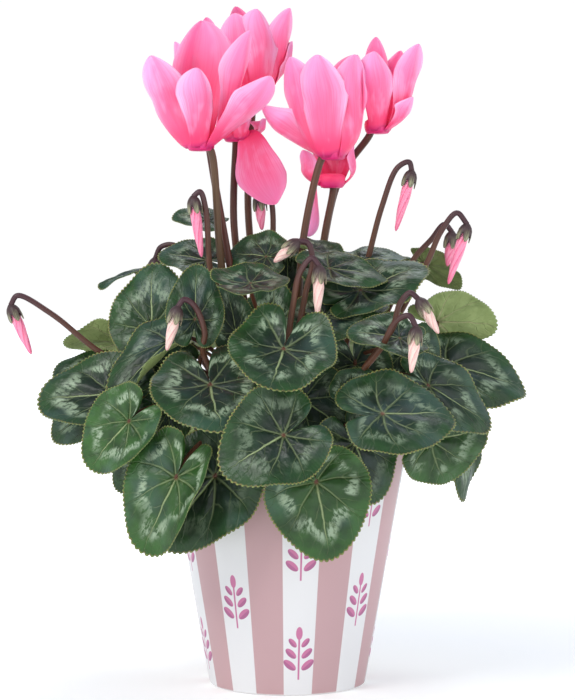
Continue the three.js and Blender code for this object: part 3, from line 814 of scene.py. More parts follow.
    def branch_veins(self, g: Graph, spot: BladeSpot, offset: Number, aside: Number) -> Number:
        """The finer veins that branch forwards from the main ones.

        Args:
            g: The graph.
            spot: Where the point lies.
            offset: How far it is from the nearest main vein, as a share of their spacing.
            aside: How far it is from it in length.

        Returns:
            Where they are.
        """
        rise = spot.radius * self.branches + spot.drift * 2.4 - aside * (1.2 * self.branches)
        gap = abs(g.math("FRACT", rise + 20.0) - 0.5)
        line = 1.0 - g.step(gap, *self.branch_line)
        return line * g.step(offset, *self.branch_reach)

    def marbling(self, g: Graph, spot: BladeSpot, offset: Number) -> Number:
        """The broken silver band between the heart of the leaf and its edge.

        Args:
            g: The graph.
            spot: Where the point lies.
            offset: How far it is from the nearest main vein, as a share of their spacing.

        Returns:
            How silver the point is.
        """
        streak = g.noise(g.vector(spot.angle * 5.0, spot.radius * 3.6, spot.seed * 11.0), 2.6, 5.0, 0.7)
        patches = g.noise(g.vector(spot.angle, spot.radius, spot.seed * 5.0), 1.7, 1.0)
        lobed = (offset - 0.25) * self.silver_ragged
        reach = spot.share + spot.drift * self.wander + lobed + (streak - 0.5) * self.silver_ragged
        band = g.step(reach, *self.silver_from) * g.step(reach, *self.silver_until, 1.0, 0.0)
        broken = g.step(streak, *self.silver_streaks) * g.step(patches, *self.silver_patches)
        near_vein = g.step(offset, *self.silver_off_vein)
        return band * broken * near_vein


@dataclass(frozen=True)
class PetalFinish:
    """A petal: deep in the mouth, a vivid deeper pink painted as shade in the hollows of its folds, pale at
    the edges, with fine lengthwise veins.
    """

    mouth: Paint = srgb(222, 44, 118)
    claw: Paint = srgb(250, 66, 118)
    middle: Paint = srgb(252, 106, 152)
    tip: Paint = srgb(254, 158, 208)
    edge: Paint = srgb(254, 184, 224)
    vein: Paint = srgb(244, 74, 124)
    mouth_to_claw: Range = (0.015, 0.085)
    claw_to_middle: Range = (0.08, 0.4)
    middle_to_tip: Range = (0.32, 0.92)
    fringe: Range = (0.45, 1.0)
    fringe_from: Range = (0.12, 0.6)
    fringe_strength: float = 0.85
    # Painted shade: where the petal sinks in a fold, it takes the deeper pink of the claw.
    painted_fold_shade: Ramp = (-0.3, 0.1, 0.4, 0.0)
    painted_fold_shade_from: Range = (0.15, 0.5)
    clouds: Ramp = (0.5, 0.7, 0.0, 0.3)
    veins: Ramp = (0.4, 0.68, 0.0, 0.4)
    veins_fade: Ramp = (0.5, 1.0, 1.0, 0.3)
    roughness: float = 0.48
    gloss: float = 0.35
    translucency: float = 0.22
    light_spread: Row = (1.0, 0.3, 0.4)
    light_depth: float = 0.004

    def build(self) -> bpy.types.Material:
        """Makes the material.

        Its places are the distance across, -1 to 1, the share of the way to the tip and the height in
        centimetres, which is less than 0 in a fold and on the whole under side.

        Returns:
            The material.
        """
        g = Graph("petal")
        across, signed, height = g.parts("place")
        seed, _, _ = g.parts("make")
        aside = abs(across)
        share = abs(signed)
        colour = g.mix(g.step(share, *self.mouth_to_claw), self.mouth, self.claw)
        colour = g.mix(g.step(share, *self.claw_to_middle), colour, self.middle)
        colour = g.mix(g.step(share, *self.middle_to_tip), colour, self.tip)
        fringe = g.step(aside, *self.fringe) * g.step(share, *self.fringe_from)
        colour = g.mix(fringe * self.fringe_strength, colour, self.edge)
        # Painted shade in the hollows of the folds, in the claw's deeper pink.
        fold_shade = g.step(height, *self.painted_fold_shade) * g.step(share, *self.painted_fold_shade_from)
        colour = g.mix(fold_shade, colour, self.claw)
        clouds = g.noise(g.vector(across, share * 2.4, seed * 5.0), 1.3)
        colour = g.mix(g.step(clouds, *self.clouds), colour, self.edge)
        streak = g.noise(g.vector(across * 12.0, share * 1.1, seed * 13.0), 1.7, 3.0, 0.55)
        depth = g.step(streak, *self.veins)
        colour = g.mix(depth * g.step(share, *self.veins_fade), colour, self.vein)
        g.set("Base Color", colour)
        g.set("Roughness", self.roughness)
        g.set("Specular IOR Level", self.gloss)
        g.set("Subsurface Weight", self.translucency)
        g.set("Subsurface Radius", self.light_spread)
        g.set("Subsurface Scale", self.light_depth)
        g.relief(streak, 0.0002, 0.4)
        return g.material


@dataclass(frozen=True)
class StalkFinish:
    """The fleshy stalks: olive brown to wine red, darker towards their hooks."""

    olive: Paint = srgb(96, 74, 42)
    wine: Paint = srgb(92, 42, 32)
    purple: Paint = srgb(72, 44, 52)
    shade: Paint = srgb(48, 27, 22)
    purple_from: Range = (0.35, 0.85)
    shade_patches: Ramp = (0.35, 0.7, 0.0, 0.5)
    roughness: float = 0.42
    gloss: float = 0.4

    def build(self) -> bpy.types.Material:
        """Makes the material.

        Its places are the share along, the angle round and the height. Its first make number is a seed,
        the second how red and the third how purple the stalk is.

        Returns:
            The material.
        """
        g = Graph("stalk")
        share, angle, height = g.parts("place")
        seed, red, purple = g.parts("make")
        streak = g.noise(g.vector(angle * 1.6, height * 0.8, seed * 9.0), 2.2, 3.0)
        colour = g.mix(red, self.olive, self.wine)
        colour = g.mix(purple * g.step(share, *self.purple_from), colour, self.purple)
        colour = g.mix(g.step(streak, *self.shade_patches), colour, self.shade)
        g.set("Base Color", colour)
        g.set("Roughness", self.roughness)
        g.set("Specular IOR Level", self.gloss)
        g.relief(streak, 0.0002, 0.4)
        return g.material


@dataclass(frozen=True)
class CalyxFinish:
    """A calyx: dark brown-purple edges and pale green-grey middles of the sepals."""

    edge: Paint = srgb(66, 46, 48)
    middle: Paint = srgb(152, 154, 120)
    cream: Paint = srgb(196, 184, 150)
    streak: Paint = srgb(58, 38, 38)
    middle_line: Range = (0.45, 0.95)
    middle_from: Range = (0.25, 0.85)
    cream_end: Ramp = (0.5, 1.0, 0.0, 0.3)
    streaks: Ramp = (0.42, 0.6, 0.0, 0.7)

    def build(self) -> bpy.types.Material:
        """Makes the material.

        Its places are the angle round and the share along. Its first make number is a seed, and the
        second tells whether it holds a pale bud.

        Returns:
            The material.
        """
        g = Graph("calyx")
        angle, share, _ = g.parts("place")
        seed, pale, _ = g.parts("make")
        streak = g.noise(g.vector(angle * 3.0, share * 0.7, seed), 3.0, 3.0)
        middle = abs(g.math("COSINE", angle * (SEPALS / 2)))
        on_middle = g.step(middle, *self.middle_line) * g.step(share, *self.middle_from)
        colour = g.mix(on_middle, self.edge, self.middle)
        colour = g.mix(pale * g.step(share, *self.cream_end), colour, self.cream)
        colour = g.mix(g.step(streak, *self.streaks), colour, self.streak)
        g.set("Base Color", colour)
        g.set("Roughness", 0.5)
        g.relief(streak, 0.0003, 0.5)
        return g.material


@dataclass(frozen=True)
class BudFinish:
    """The furled petals of a bud, twisted, with painted shade darkening the seams where one petal tucks under
    the next.
    """

    name: str
    light: Paint
    deep: Paint
    light_spread: Row = (1.0, 0.4, 0.5)
    light_depth: float = 0.002
    translucency: float = 0.15
    # Painted shade: the low, tucked-in part of each pleat takes the deep colour.
    seam_shade: Range = (0.15, 0.75)
    streaks: Ramp = (0.45, 0.7, 0.0, 0.4)
    deep_end: Ramp = (0.75, 1.0, 0.0, 0.35)

    def build(self) -> bpy.types.Material:
        """Makes the material. Its places are the height of the pleat, the share along and the angle."""
        g = Graph(self.name)
        pleat, share, _ = g.parts("place")
        seed, _, _ = g.parts("make")
        streak = g.noise(g.vector(pleat * 3.0, share * 1.5, seed), 3.0, 3.0)
        # Painted shade in the recess of each pleat, at the seam.
        colour = g.mix(g.step(pleat, *self.seam_shade), self.deep, self.light)
        colour = g.mix(g.step(streak, *self.streaks), colour, self.deep)
        colour = g.mix(g.step(share, *self.deep_end), colour, self.deep)
        g.set("Base Color", colour)
        g.set("Roughness", 0.45)
        g.set("Subsurface Weight", self.translucency)
        g.set("Subsurface Radius", self.light_spread)
        g.set("Subsurface Scale", self.light_depth)
        return g.material


@dataclass(frozen=True)
class EarthFinish:
    """Something rough and brown: the potting soil or the corm."""

    name: str
    dark: Paint
    light: Paint
    scale: float
    patches: Range = (0.35, 0.7)
    # Painted shade: darker where the surface is sunk, in the gaps between crumbs.
    painted_gap_shade: Ramp = (0.1, 0.5, 0.5, 0.0)

    def build(self) -> bpy.types.Material:
        """Makes the material."""
        g = Graph(self.name)
        where = g.position()
        crumbs = g.cells(where, self.scale)
        tone = g.noise(where, self.scale / 3, 4.0)
        colour = g.mix(g.step(tone, *self.patches), self.dark, self.light)
        # Painted shade in the sunken gaps between the crumbs.
        colour = g.mix(g.step(crumbs, *self.painted_gap_shade), colour, self.dark)
        g.set("Base Color", colour)
        g.set("Roughness", 0.9)
        g.relief(crumbs, 0.001, 0.8)
        return g.material


@dataclass(frozen=True)
class NurseryFinish:
    """Thin moulded plant-pot plastic."""

    dark: Paint = srgb(104, 60, 44)
    light: Paint = srgb(126, 76, 56)

    def build(self) -> bpy.types.Material:
        """Makes the material."""
        g = Graph("nursery_plastic")
        grain = g.noise(g.position(), 400.0)
        g.set("Base Color", g.mix(grain, self.dark, self.light))
        g.set("Roughness", 0.45 + grain * 0.2)
        g.relief(grain, 0.0001, 0.4)
        return g.material


@dataclass(frozen=True)
class PrintFinish:
    """The cover pot's print: pink and white stripes with small sprigs on the white ones.

    stripe is a stripe's width in degrees round the pot, and edge where the first one starts. Rows and
    sprigs are in millimetres. Each leaf is its middle, half length, half width and slant in degrees.
    The print fades in over printed_above, in metres from the pot's base.
    """

    pink: Paint = srgb(192, 157, 160)
    white: Paint = srgb(226, 226, 227)
    bare: Paint = srgb(224, 222, 222)
    sprig: Paint = srgb(196, 115, 155)
    shade: Paint = srgb(170, 98, 140)
    stripe: float = 20.0
    edge: float = -2.6
    edge_blur: float = 0.003
    first_row: float = 22.0
    row_gap: float = 52.0
    stem: Range = (-13.5, 10.0)
    stem_fade: float = 0.5
    stem_edge: Range = (0.35, 0.6)
    top_leaf: Row = (0.0, 11.2, 3.4, 1.7, 90)
    leaves: tuple[Row, ...] = ((4.6, -5.5, 3.9, 1.9, 40), (4.1, 0.6, 3.5, 1.7, 44), (3.3, 6.2, 2.9, 1.4, 50))
    leaf_edge: Ramp = (0.92, 1.08, 1.0, 0.0)
    leaf_half: Ramp = (-0.1, 0.1, 1.0, 0.0)
    printed_above: Range = (0.0005, 0.0012)

    def leaf(self, g: Graph, u: Number, v: Number, leaf: Row) -> tuple[Number, Number]:
        """One slanting leaf of the sprig.

        Args:
            g: The graph.
            u: The distance from the sprig's stem, in millimetres.
            v: The height from the sprig's middle.
            leaf: The leaf's row.

        Returns:
            Whether a point is on it, and whether it is in its shaded half.
        """
        middle, level, length, width, slant = leaf
        cosine, sine = math.cos(math.radians(slant)), math.sin(math.radians(slant))
        du, dv = u - middle, v - level
        p = du * (cosine / length) + dv * (sine / length)
        q = dv * (cosine / width) - du * (sine / width)
        return g.step(p * p + q * q, *self.leaf_edge), g.step(q, *self.leaf_half)

    def printed_sprig(self, g: Graph, u: Number, v: Number) -> tuple[Number, Number]:
        """The sprig: a stem with a leaf on top and three pairs of leaves.

        Args:
            g: The graph.
            u: The distance from the sprig's stem, in millimetres.
            v: The height from the sprig's middle.

        Returns:
            Whether a point is on it, and whether it is on a shaded half of a leaf.
        """
        low, high = self.stem
        along = g.step(v, low, low + self.stem_fade) * g.step(v, high - self.stem_fade, high, 1.0, 0.0)
        stem = g.step(u, *self.stem_edge, 1.0, 0.0) * along
        top, _ = self.leaf(g, u, v, self.top_leaf)
        shape, dark = g.math("MAXIMUM", top, stem), 0.0
        for row in self.leaves:
            inside, half = self.leaf(g, u, v, row)
            dark = g.math("MAXIMUM", dark, inside * half)
            shape = g.math("MAXIMUM", shape, inside)
        return shape, dark

    def build(self) -> bpy.types.Material:
        """Makes the material."""
        g = Graph("pot_print")
        where = g.position()
        x, y, z = g.split(where)
        radius = g.distance(x, y) * (1 / MM)
        azimuth = g.math("ARCTAN2", x, y * -1.0) * (180 / math.pi)
        # Ten pairs of stripes are added, which keeps the count above 0 all round.
        turn = (azimuth - self.edge) / (2 * self.stripe) + 10.0
        share = g.math("FRACT", turn)
        half, blur = 0.5, self.edge_blur
        pink = g.step(share, half - blur, half + blur) * g.step(share, 1 - blur, 1.0, 1.0, 0.0)
        paper = g.mix(pink, self.white, self.pink)
        u = abs((share - half / 2) * math.radians(2 * self.stripe) * radius)
        odd = g.math("GREATER_THAN", g.math("FRACT", g.math("FLOOR", turn) * 0.5), 0.25)
        height = z * (1 / MM)
        level = height - odd * (self.row_gap / 2)
        row = g.math("FRACT", (level - (self.first_row - self.row_gap / 2)) / self.row_gap)
        v = (row - 0.5) * self.row_gap
        shape, dark = self.printed_sprig(g, u, v)
        whole = g.math("GREATER_THAN", height - v, self.first_row / 2)
        printed = g.mix(shape * whole, paper, g.mix(dark, self.sprig, self.shade))
        on_outside = g.step(z, *self.printed_above) * self.outside(g, radius, z)
        g.set("Base Color", g.mix(on_outside, self.bare, printed))
        grain = g.noise(where, 900.0)
        g.set("Roughness", 0.42 + grain * 0.1)
        g.relief(grain, 0.00004, 0.3)
        return g.material

    def outside(self, g: Graph, radius: Number, z: Number) -> Number:
        """Whether a point is on the outer wall.

        Args:
            g: The graph.
            radius: The point's distance from the axis, in millimetres.
            z: Its height, in metres.

        Returns:
            1 on the outer wall and 0 inside.
        """
        slope = (CoverPot.rim_radius - CoverPot.base_radius) / CoverPot.height
        wall = CoverPot.base_radius - CoverPot.wall / 2 + z * (slope / MM)
        return g.math("GREATER_THAN", radius, wall)


# ---- Seeds and stalks ------------------------------------


class SeedBlock(IntEnum):
    """Where each kind of thing starts to count its seeds."""

    FIRST = 0
    SPRAY_BLADE = 40
    FLOWER_STALK = 60
    BUD_STALK = 70
    CALYX = 80
    PETAL = 90


def seed_of(number: int, block: SeedBlock = SeedBlock.FIRST) -> float:
    """A number between 0 and 1 that differs from thing to thing.

    Args:
        number: The thing's number among its kind.
        block: Its kind.

    Returns:
        The seed.
    """
    golden = 0.6180339
    return (golden * (block + number + 1)) % 1.0


def from_foot(path: list[Row], foot_height: float) -> list[Row]:
    """A stalk's path, whose first point is given without a height.

    Args:
        path: The points, the first one as x and y only.
        foot_height: The height that the first one gets.

    Returns:
        The path with three numbers for each point.
    """
    return [(*path[0], foot_height), *path[1:]]


# ---- Leaves ----------------------------------------------


def swelling(angle: np.ndarray, middle: float, width: float) -> np.ndarray:
    """A smooth bump, 1 high at its middle."""
    return np.exp(-(((angle - middle) / width) ** 2))


def outline_radius(angle: np.ndarray) -> np.ndarray:
    """The heart-shaped outline: distance from the stalk to the edge, the tip being 1 away.

    Args:
        angle: The direction from the stalk, in radians from the tip.

    Returns:
        The distance in each direction.
    """
    size = np.abs(angle)
    point = 0.12 * swelling(size, 0.0, 0.35)
    lobe = 0.1 * swelling(size, 2.5, 0.45)
    notch = 1 - swelling(size, math.pi, 0.16)
    waist = 1 - 0.09 * swelling(size, 0.9, 0.5)
    return (0.68 + 0.2 * np.cos(angle) + point + lobe) * notch * waist


@dataclass
class Blade:
    """A leaf blade, placed and bent as its CAD node is.

    at is where the stalk joins it, tip its tip, and face the way its upper side looks. wide and back
    stretch it sideways and behind the stalk. left, right, droop and lobes bend its four sides, in
    degrees over a length. cup and wave are shares of its length, and the rest is for its finish.
    """

    at: Row
    tip: Row
    face: Row
    wide: float = 1.0
    back: float = 1.0
    left: float = 14.0
    right: float = 14.0
    droop: float = 22.0
    lobes: float = 20.0
    cup: float = 0.04
    wave: float = 0.03
    silver: float = 0.8
    youth: float = 0.0
    seed: float = 0.0

    THICKNESS = 0.55
    EDGE_THINNING = 0.4
    NOTCH = 0.1
    ANGLES = 337
    SHARES = (0.001, 0.15, 0.3, 0.45, 0.6, 0.73, 0.84, 0.93, 0.98, 1.0)
    TOOTH = 0.034
    TOOTH_BASE = 0.75
    TEETH_FROM = 0.86
    FURROW = 0.06
    EDGE_WAVE = 0.03
    EDGE_CRIMP = 0.022
    SWELL = 0.016
    TURN_DOWN = 0.03
    STALK_RADIUS = 1.25
    STALK_SIDES = 10
    STALK_TAPER = 0.25
    STALK_SEAT = 0.9
    STALK_RISE = 8.0
    STALK_ARCH = (150.0, 190.0)
    STALK_SPREAD = 1.6
    STALK_APPROACH = 0.6

    def frame(self) -> tuple[np.ndarray, np.ndarray, np.ndarray, np.ndarray, float]:
        """The blade's own directions.

        Returns:
            Where the stalk joins it, the directions along, up and across it, and its length.
        """
        at = np.array(self.at, float)
        along = np.array(self.tip, float) - at
        length = float(np.linalg.norm(along))
        along = along / length
        up = np.array(self.face, float)
        up = unit(up - along * np.dot(up, along))
        across = np.cross(along, up)
        forward, lift = bend(1.0, -self.droop)
        rise = lift + self.cup
        reach = math.hypot(forward, rise)
        turn = math.atan2(-rise, forward)
        return at, turned(along, across, turn), turned(up, across, turn), across, length / reach

    def bumps(self, angle: np.ndarray, share: np.ndarray, x: np.ndarray, y: np.ndarray) -> np.ndarray:
        """How the surface leaves its smooth bend: waves, puckers, vein furrows and a turned-down edge.

        Args:
            angle: The direction of each point from the stalk.
            share: Its share of the way to the edge.
            x: How far it lies across the blade, whose length is 1.
            y: How far along it.

        Returns:
            The heights, as shares of the length.
        """
        phase = self.seed * 37.0
        ripple = self.wave * share ** 3 * np.sin(5 * angle)
        wave = self.EDGE_WAVE * share ** 3 * np.sin(3 * angle + phase)
        crimp = self.EDGE_CRIMP * share ** 4 * np.sin(8 * angle + 2 * phase)
        swell = self.SWELL * np.sin(6 * x + phase) * np.cos(5 * y + 2 * phase) * smoothstep(share, 0.1, 0.6)
        furrow = self.FURROW * share * (1 - share) * np.cos(2 * math.pi * angle / VEIN_SPACING)
        turn_down = self.TURN_DOWN * smoothstep(share, 0.8, 1.0)
        return ripple + wave + crimp + swell - furrow - turn_down

    def patch(self, finish: int) -> Patch:
        """The blade as a thin closed piece.

        Args:
            finish: The number of its finish.

        Returns:
            The patch.
        """
        at, along, up, across, length = self.frame()
        angle = np.linspace(-(math.pi - self.NOTCH), math.pi - self.NOTCH, self.ANGLES)
        share = np.array(self.SHARES)[:, None]
        tooth = self.TOOTH * (np.abs(np.sin(TOOTH_WAVES * angle)) - self.TOOTH_BASE)
        radius = outline_radius(angle) * (share + tooth * smoothstep(share, self.TEETH_FROM, 1.0))
        flat_x, flat_y = radius * np.sin(angle), radius * np.cos(angle)
        x = flat_x * self.wide
        y = flat_y * np.where(np.cos(angle) < 0, self.back, 1.0)
        sideways, curl = bend(np.abs(x), np.where(x > 0, self.right, self.left))
        ahead, droop = bend(np.maximum(y, 0), -self.droop)
        behind, lift = bend(np.maximum(-y, 0), self.lobes)
        height = curl + np.where(y > 0, droop, lift) + self.cup * radius ** 2 + self.bumps(angle, share, x, y)
        sheet = at + length * ((sideways * np.sign(x))[..., None] * across
                               + np.where(y > 0, ahead, -behind)[..., None] * along
                               + height[..., None] * up)
        place = np.stack([flat_x, flat_y, np.broadcast_to(share, radius.shape)], axis=2)
        thickness = np.broadcast_to(self.THICKNESS * (1 - self.EDGE_THINNING * share ** 4), radius.shape)
        return sheet_patch(sheet, thickness, finish, place, (self.seed, self.silver, self.youth))

    def stalk(self, foot: np.ndarray, end: np.ndarray) -> list[np.ndarray]:
        """The stalk's curve from its foot to the blade.

        Args:
            foot: Where it starts.
            end: Where it ends.

        Returns:
            The four control points.
        """
        at, along, up, _, length = self.frame()
        hanging = max(0.0, -float(along[2]))
        approach = UP * (0.2 + 0.5 * hanging) + up * (0.8 * hanging - 0.9) - along * (0.2 + 0.8 * hanging)
        before = at - up * self.STALK_SEAT + unit(approach) * self.STALK_APPROACH * length
        low, high = self.STALK_ARCH
        height = min(max(at[2] + self.STALK_RISE, low), high)
        above = np.array([self.STALK_SPREAD * foot[0], self.STALK_SPREAD * foot[1], height])
        return [foot, above, before, end]

    def stalk_patch(self, foot: np.ndarray, sunk: float, steps: int, finish: int, make: Row) -> Patch:
        """The leaf's stalk, thinner towards the blade.

        Args:
            foot: Where it starts.
            sunk: How far below the blade's middle surface it ends.
            steps: How many rings it has.
            finish: The number of its finish.
            make: Three numbers for the finish.

        Returns:
            The patch.
        """
        at, _, up, _, _ = self.frame()
        share = np.linspace(0, 1, steps)
        line = bezier(self.stalk(foot, at - up * sunk), share)
        radius = self.STALK_RADIUS * (1.05 - self.STALK_TAPER * share)
        return tube_patch(line, radius, self.STALK_SIDES, finish, make)


def compass_blade(round_to: float, out: float, up: float, length: float, fall: float) -> Blade:
    """A leaf of the far side.

    Args:
        round_to: The direction that it stands in, in degrees from +X.
        out: How far out its stalk joins it.
        up: How high.
        length: How long it is.
        fall: How steeply it falls, in degrees.

    Returns:
        The blade.
    """
    angle, slope = math.radians(round_to), math.radians(fall)
    outward = np.array([math.cos(angle), math.sin(angle), 0.0])
    at = outward * out + UP * up
    tip = at + length * (outward * math.cos(slope) - UP * math.sin(slope))
    face = outward * math.sin(slope) + UP * math.cos(slope)
    return Blade(tuple(at), tuple(tip), tuple(face), wide=0.95)


# The single leaves: where the stalk joins the blade, the blade's tip, and the way it faces.
LEAVES: dict[str, Blade] = {
    "front_leaf_1": Blade((-2, -98, 138), (-32, -104, 121), (0, -0.85, 0.5), wide=1.12, back=1.1,
                          right=60, lobes=40, silver=0.35),
    "front_leaf_2": Blade((14, -84, 114), (21, -78, 74), (0.1, -0.97, 0.1), wide=0.96, back=0.75,
                          left=4, right=8, lobes=5, silver=1.0, youth=0.5),
    "front_leaf_3": Blade((-55, -72, 115), (-72, -66, 76), (-0.35, -0.93, 0.1), wide=0.9, left=130,
                          right=8, lobes=40, silver=1.0, youth=0.55),
    "front_leaf_4": Blade((-36, -65, 115), (-64, -57, 78), (-0.3, -0.93, 0.15), wide=0.85, left=5,
                          right=12, silver=0.2),
    "front_leaf_5": Blade((-38, -78, 161), (-32, -100, 140), (0, -0.75, 0.65), wide=1.42, back=1.6,
                          lobes=20, silver=0.95),
    "front_leaf_6": Blade((-2, -88, 179), (-8, -108, 160), (0, -0.7, 0.7), wide=1.4, back=1.7,
                          lobes=50, silver=0.9),
    "front_leaf_7": Blade((46, -92, 148), (83, -74, 146), (0.1, -0.8, 0.6), wide=0.86, lobes=10,
                          silver=0.45),
    "front_leaf_8": Blade((55, -74, 184), (29, -79, 187), (0, -0.6, 0.8), wide=0.9, left=30, right=30,
                          lobes=60, silver=0.9),
    "front_leaf_9": Blade((33, -70, 132), (45, -62, 101), (0.3, -0.93, 0.2), wide=0.95, silver=0.3),
    "left_leaf_1": Blade((-79, -62, 142), (-100, -56, 118), (-0.15, -0.95, 0.35), wide=0.95, left=80,
                         right=10, lobes=50, silver=1.0, youth=0.6),
    "left_leaf_2": Blade((-60, -42, 181), (-92, -52, 148), (-0.45, -0.75, 0.45), wide=0.6, left=230,
                         right=10, silver=0.5),
    "left_leaf_3": Blade((-89, -36, 154), (-129, -26, 150), (-0.25, -0.85, 0.5), wide=0.85, left=80,
                         right=10, silver=0.9),
    "left_leaf_4": Blade((-70, -22, 188), (-69, -8, 221), (-0.25, -0.9, 0.35), wide=0.95, back=0.9,
                         silver=0.6, youth=0.2),
    "left_leaf_5": Blade((-61, -38, 145), (-74, -36, 122), (0.1, -0.95, 0.2), wide=0.8),
    "left_leaf_6": Blade((-70, -32, 126), (-88, -30, 104), (-0.4, -0.9, 0), wide=0.8),
    "left_leaf_7": Blade((-98, -18, 150), (-122, -14, 128), (-0.4, -0.85, 0.2), wide=0.7),
    "left_leaf_8": Blade((-98, -2, 165), (-124, 4, 163), (-0.3, -0.6, 0.75), wide=0.8),
    "left_leaf_9": Blade((-88, 6, 179), (-118, 4, 180), (-0.1, 0.6, 0.75), wide=0.8),
    "top_leaf_1": Blade((-46, -64, 193), (-45, -54, 221), (0.1, -0.95, 0.3), wide=0.72, back=0.9,
                        silver=0.5),
    "top_leaf_2": Blade((-18, -72, 211), (1, -66, 213), (0, -0.5, 0.85), wide=1.1, back=1.9, left=40,
                        right=40, lobes=40, silver=0.6),
    "top_leaf_3": Blade((-11, -24, 224), (-31, -14, 226), (0.1, -0.85, 0.5), wide=1, silver=0.5),
    "top_leaf_4": Blade((21, -48, 218), (51, -40, 213), (0.05, -0.55, 0.83), wide=0.75, silver=0.5),
    "top_leaf_5": Blade((37, -42, 207), (72, -28, 219), (0.1, -0.55, 0.83), wide=0.75, silver=0.6),
    "top_leaf_6": Blade((19, -48, 194), (51, -42, 201), (0, -0.6, 0.8), wide=0.95, silver=0.7),
    "top_leaf_7": Blade((-42, -16, 222), (-67, -12, 226), (0, -0.6, 0.8), wide=0.95, silver=0.5),
    "top_leaf_8": Blade((38, -12, 222), (62, -4, 224), (0, -0.45, 0.9), wide=0.8, silver=0.5),
    "right_leaf_1": Blade((72, -55, 132), (102, -30, 137), (0.6, -0.75, 0.1), wide=0.85, silver=0.7,
                          youth=0.4),
    "right_leaf_2": Blade((70, -62, 160), (104, -48, 138), (0.25, -0.85, 0.45), wide=0.64, back=0.8,
                          silver=0.7),
    "right_leaf_3": Blade((82, -22, 168), (125, -8, 154), (0.2, -0.75, 0.6), wide=0.72, droop=35,
                          silver=0.6),
    "right_leaf_4": Blade((90, -24, 138), (89, -30, 98), (0.75, -0.6, 0.1), wide=0.6, silver=0.8),
    "right_leaf_5": Blade((78, -6, 190), (110, 4, 188), (0.2, 0.8, 0.55), wide=0.9, silver=0.6),
    "inner_leaf_1": Blade((8, -62, 153), (34, -66, 134), (0, -0.95, 0.3), wide=1, silver=0.3),
}


@dataclass
class Spray:
    """Blades on stalks that rise together from one upright foot in the soil."""

    foot: tuple[float, float]
    blades: list[Blade]

    FOOT_RADIUS = 3.2
    FOOT_BOTTOM = 93.0
    FOOT_TOP = 106.0
    STALKS_BELOW_TOP = 2.0


# The sprays: the foot, and then the blades, of which those of the far side are placed by compass.
SPRAYS: dict[str, Spray] = {
    "leaf_spray_1": Spray((-38, -10), [
        Blade((-80, 4, 216), (-99, -4, 208), (-0.3, -0.12, 1), wide=0.65),
        Blade((-26, -46, 186), (-32, -38, 211), (0.35, -0.85, 0.3), wide=0.7),
        Blade((-10, -34, 184), (-6, -29, 213), (0.1, -0.95, 0.2), wide=0.85),
        Blade((-58, -14, 164), (-84, -13, 154), (-0.2, -0.95, 0.2), wide=0.9)]),
    "leaf_spray_2": Spray((36, -12), [
        Blade((30, -76, 158), (42, -74, 168), (0.3, -0.6, 0.75), wide=1, left=40, right=40),
        Blade((13, -16, 228), (31, -24, 220), (0.2, -0.2, 0.95), wide=1, left=50, right=30),
        Blade((74, 24, 220), (93, 28, 207), (0.3, 0.55, 0.8), wide=0.9),
        Blade((34, -50, 170), (40, -48, 142), (0.1, -0.98, 0.1), wide=0.95),
        Blade((62, -42, 178), (58, -40, 152), (0.1, -0.98, 0.1), wide=0.9)]),
    "leaf_spray_3": Spray((28, 22), [
        compass_blade(27, 82, 134, 42, 52), compass_blade(34, 76, 184, 46, 22),
        compass_blade(47, 84, 146, 44, 42), compass_blade(56, 42, 214, 38, 8)]),
    "leaf_spray_4": Spray((4, 34), [
        compass_blade(79, 90, 136, 46, 52), compass_blade(74, 84, 178, 48, 24),
        compass_blade(100, 68, 194, 44, 18), compass_blade(106, 20, 224, 38, 4),
        Blade((0, 17, 206), (0, 21, 232), (0, -0.95, 0.3), wide=0.85)]),
    "leaf_spray_5": Spray((-26, 26), [
        compass_blade(114, 88, 140, 44, 50), compass_blade(132, 80, 176, 48, 24),
        compass_blade(143, 92, 140, 44, 46), Blade((-42, 12, 243), (-61, 14, 246), (0, -0.5, 0.85), wide=0.9),
        compass_blade(156, 82, 182, 42, 22)]),
}


@dataclass
class Foliage:
    """All the leaves: the single blades, and the sprays with their own stalks."""

    leaves: dict[str, Blade] = field(default_factory=lambda: LEAVES)
    sprays: dict[str, Spray] = field(default_factory=lambda: SPRAYS)
    foot_sides: int = 14
    foot_shape: Row = (0.7, 0.9, 1, 1, 0.95, 0.7)
    foot_red: float = 0.4
    stalk_steps: int = 28
    stalk_red: float = 0.75

    def build(self, leaf: bpy.types.Material, stalk: bpy.types.Material) -> None:
        """Makes every blade and spray.

        Args:
            leaf: The blades' material.
            stalk: The stalks' material.
        """
        for number, (name, blade) in enumerate(self.leaves.items()):
            blade.seed = seed_of(number)
            make_piece(f"{name}_blade", [blade.patch(0)], [leaf], name)
        for number, (name, spray) in enumerate(self.sprays.items()):
            make_piece(f"{name}_blades", self.spray_patches(spray, number), [leaf, stalk], name)

    def spray_patches(self, spray: Spray, number: int) -> list[Patch]:
        """A spray's foot, blades and stalks.

        Args:
            spray: The spray.
            number: Its place in the list.

        Returns:
            Its patches.
        """
        x, y = spray.foot
        levels = np.linspace(spray.FOOT_BOTTOM, spray.FOOT_TOP, len(self.foot_shape))
        upright = np.array([[x, y, z] for z in levels])
        radius = spray.FOOT_RADIUS * np.array(self.foot_shape)
        patches = [tube_patch(upright, radius, self.foot_sides, 1, (seed_of(number), self.foot_red, 0.0))]
        foot = np.array([x, y, spray.FOOT_TOP - spray.STALKS_BELOW_TOP])
        for index, blade in enumerate(spray.blades):
            blade.seed = seed_of(7 * number + index, SeedBlock.SPRAY_BLADE)
            patches.append(blade.patch(0))
            make = (blade.seed, self.stalk_red, 0.0)
            patches.append(blade.stalk_patch(foot, 0.0, self.stalk_steps, 1, make))
        return patches


# ---- Flowers and buds ------------------------------------


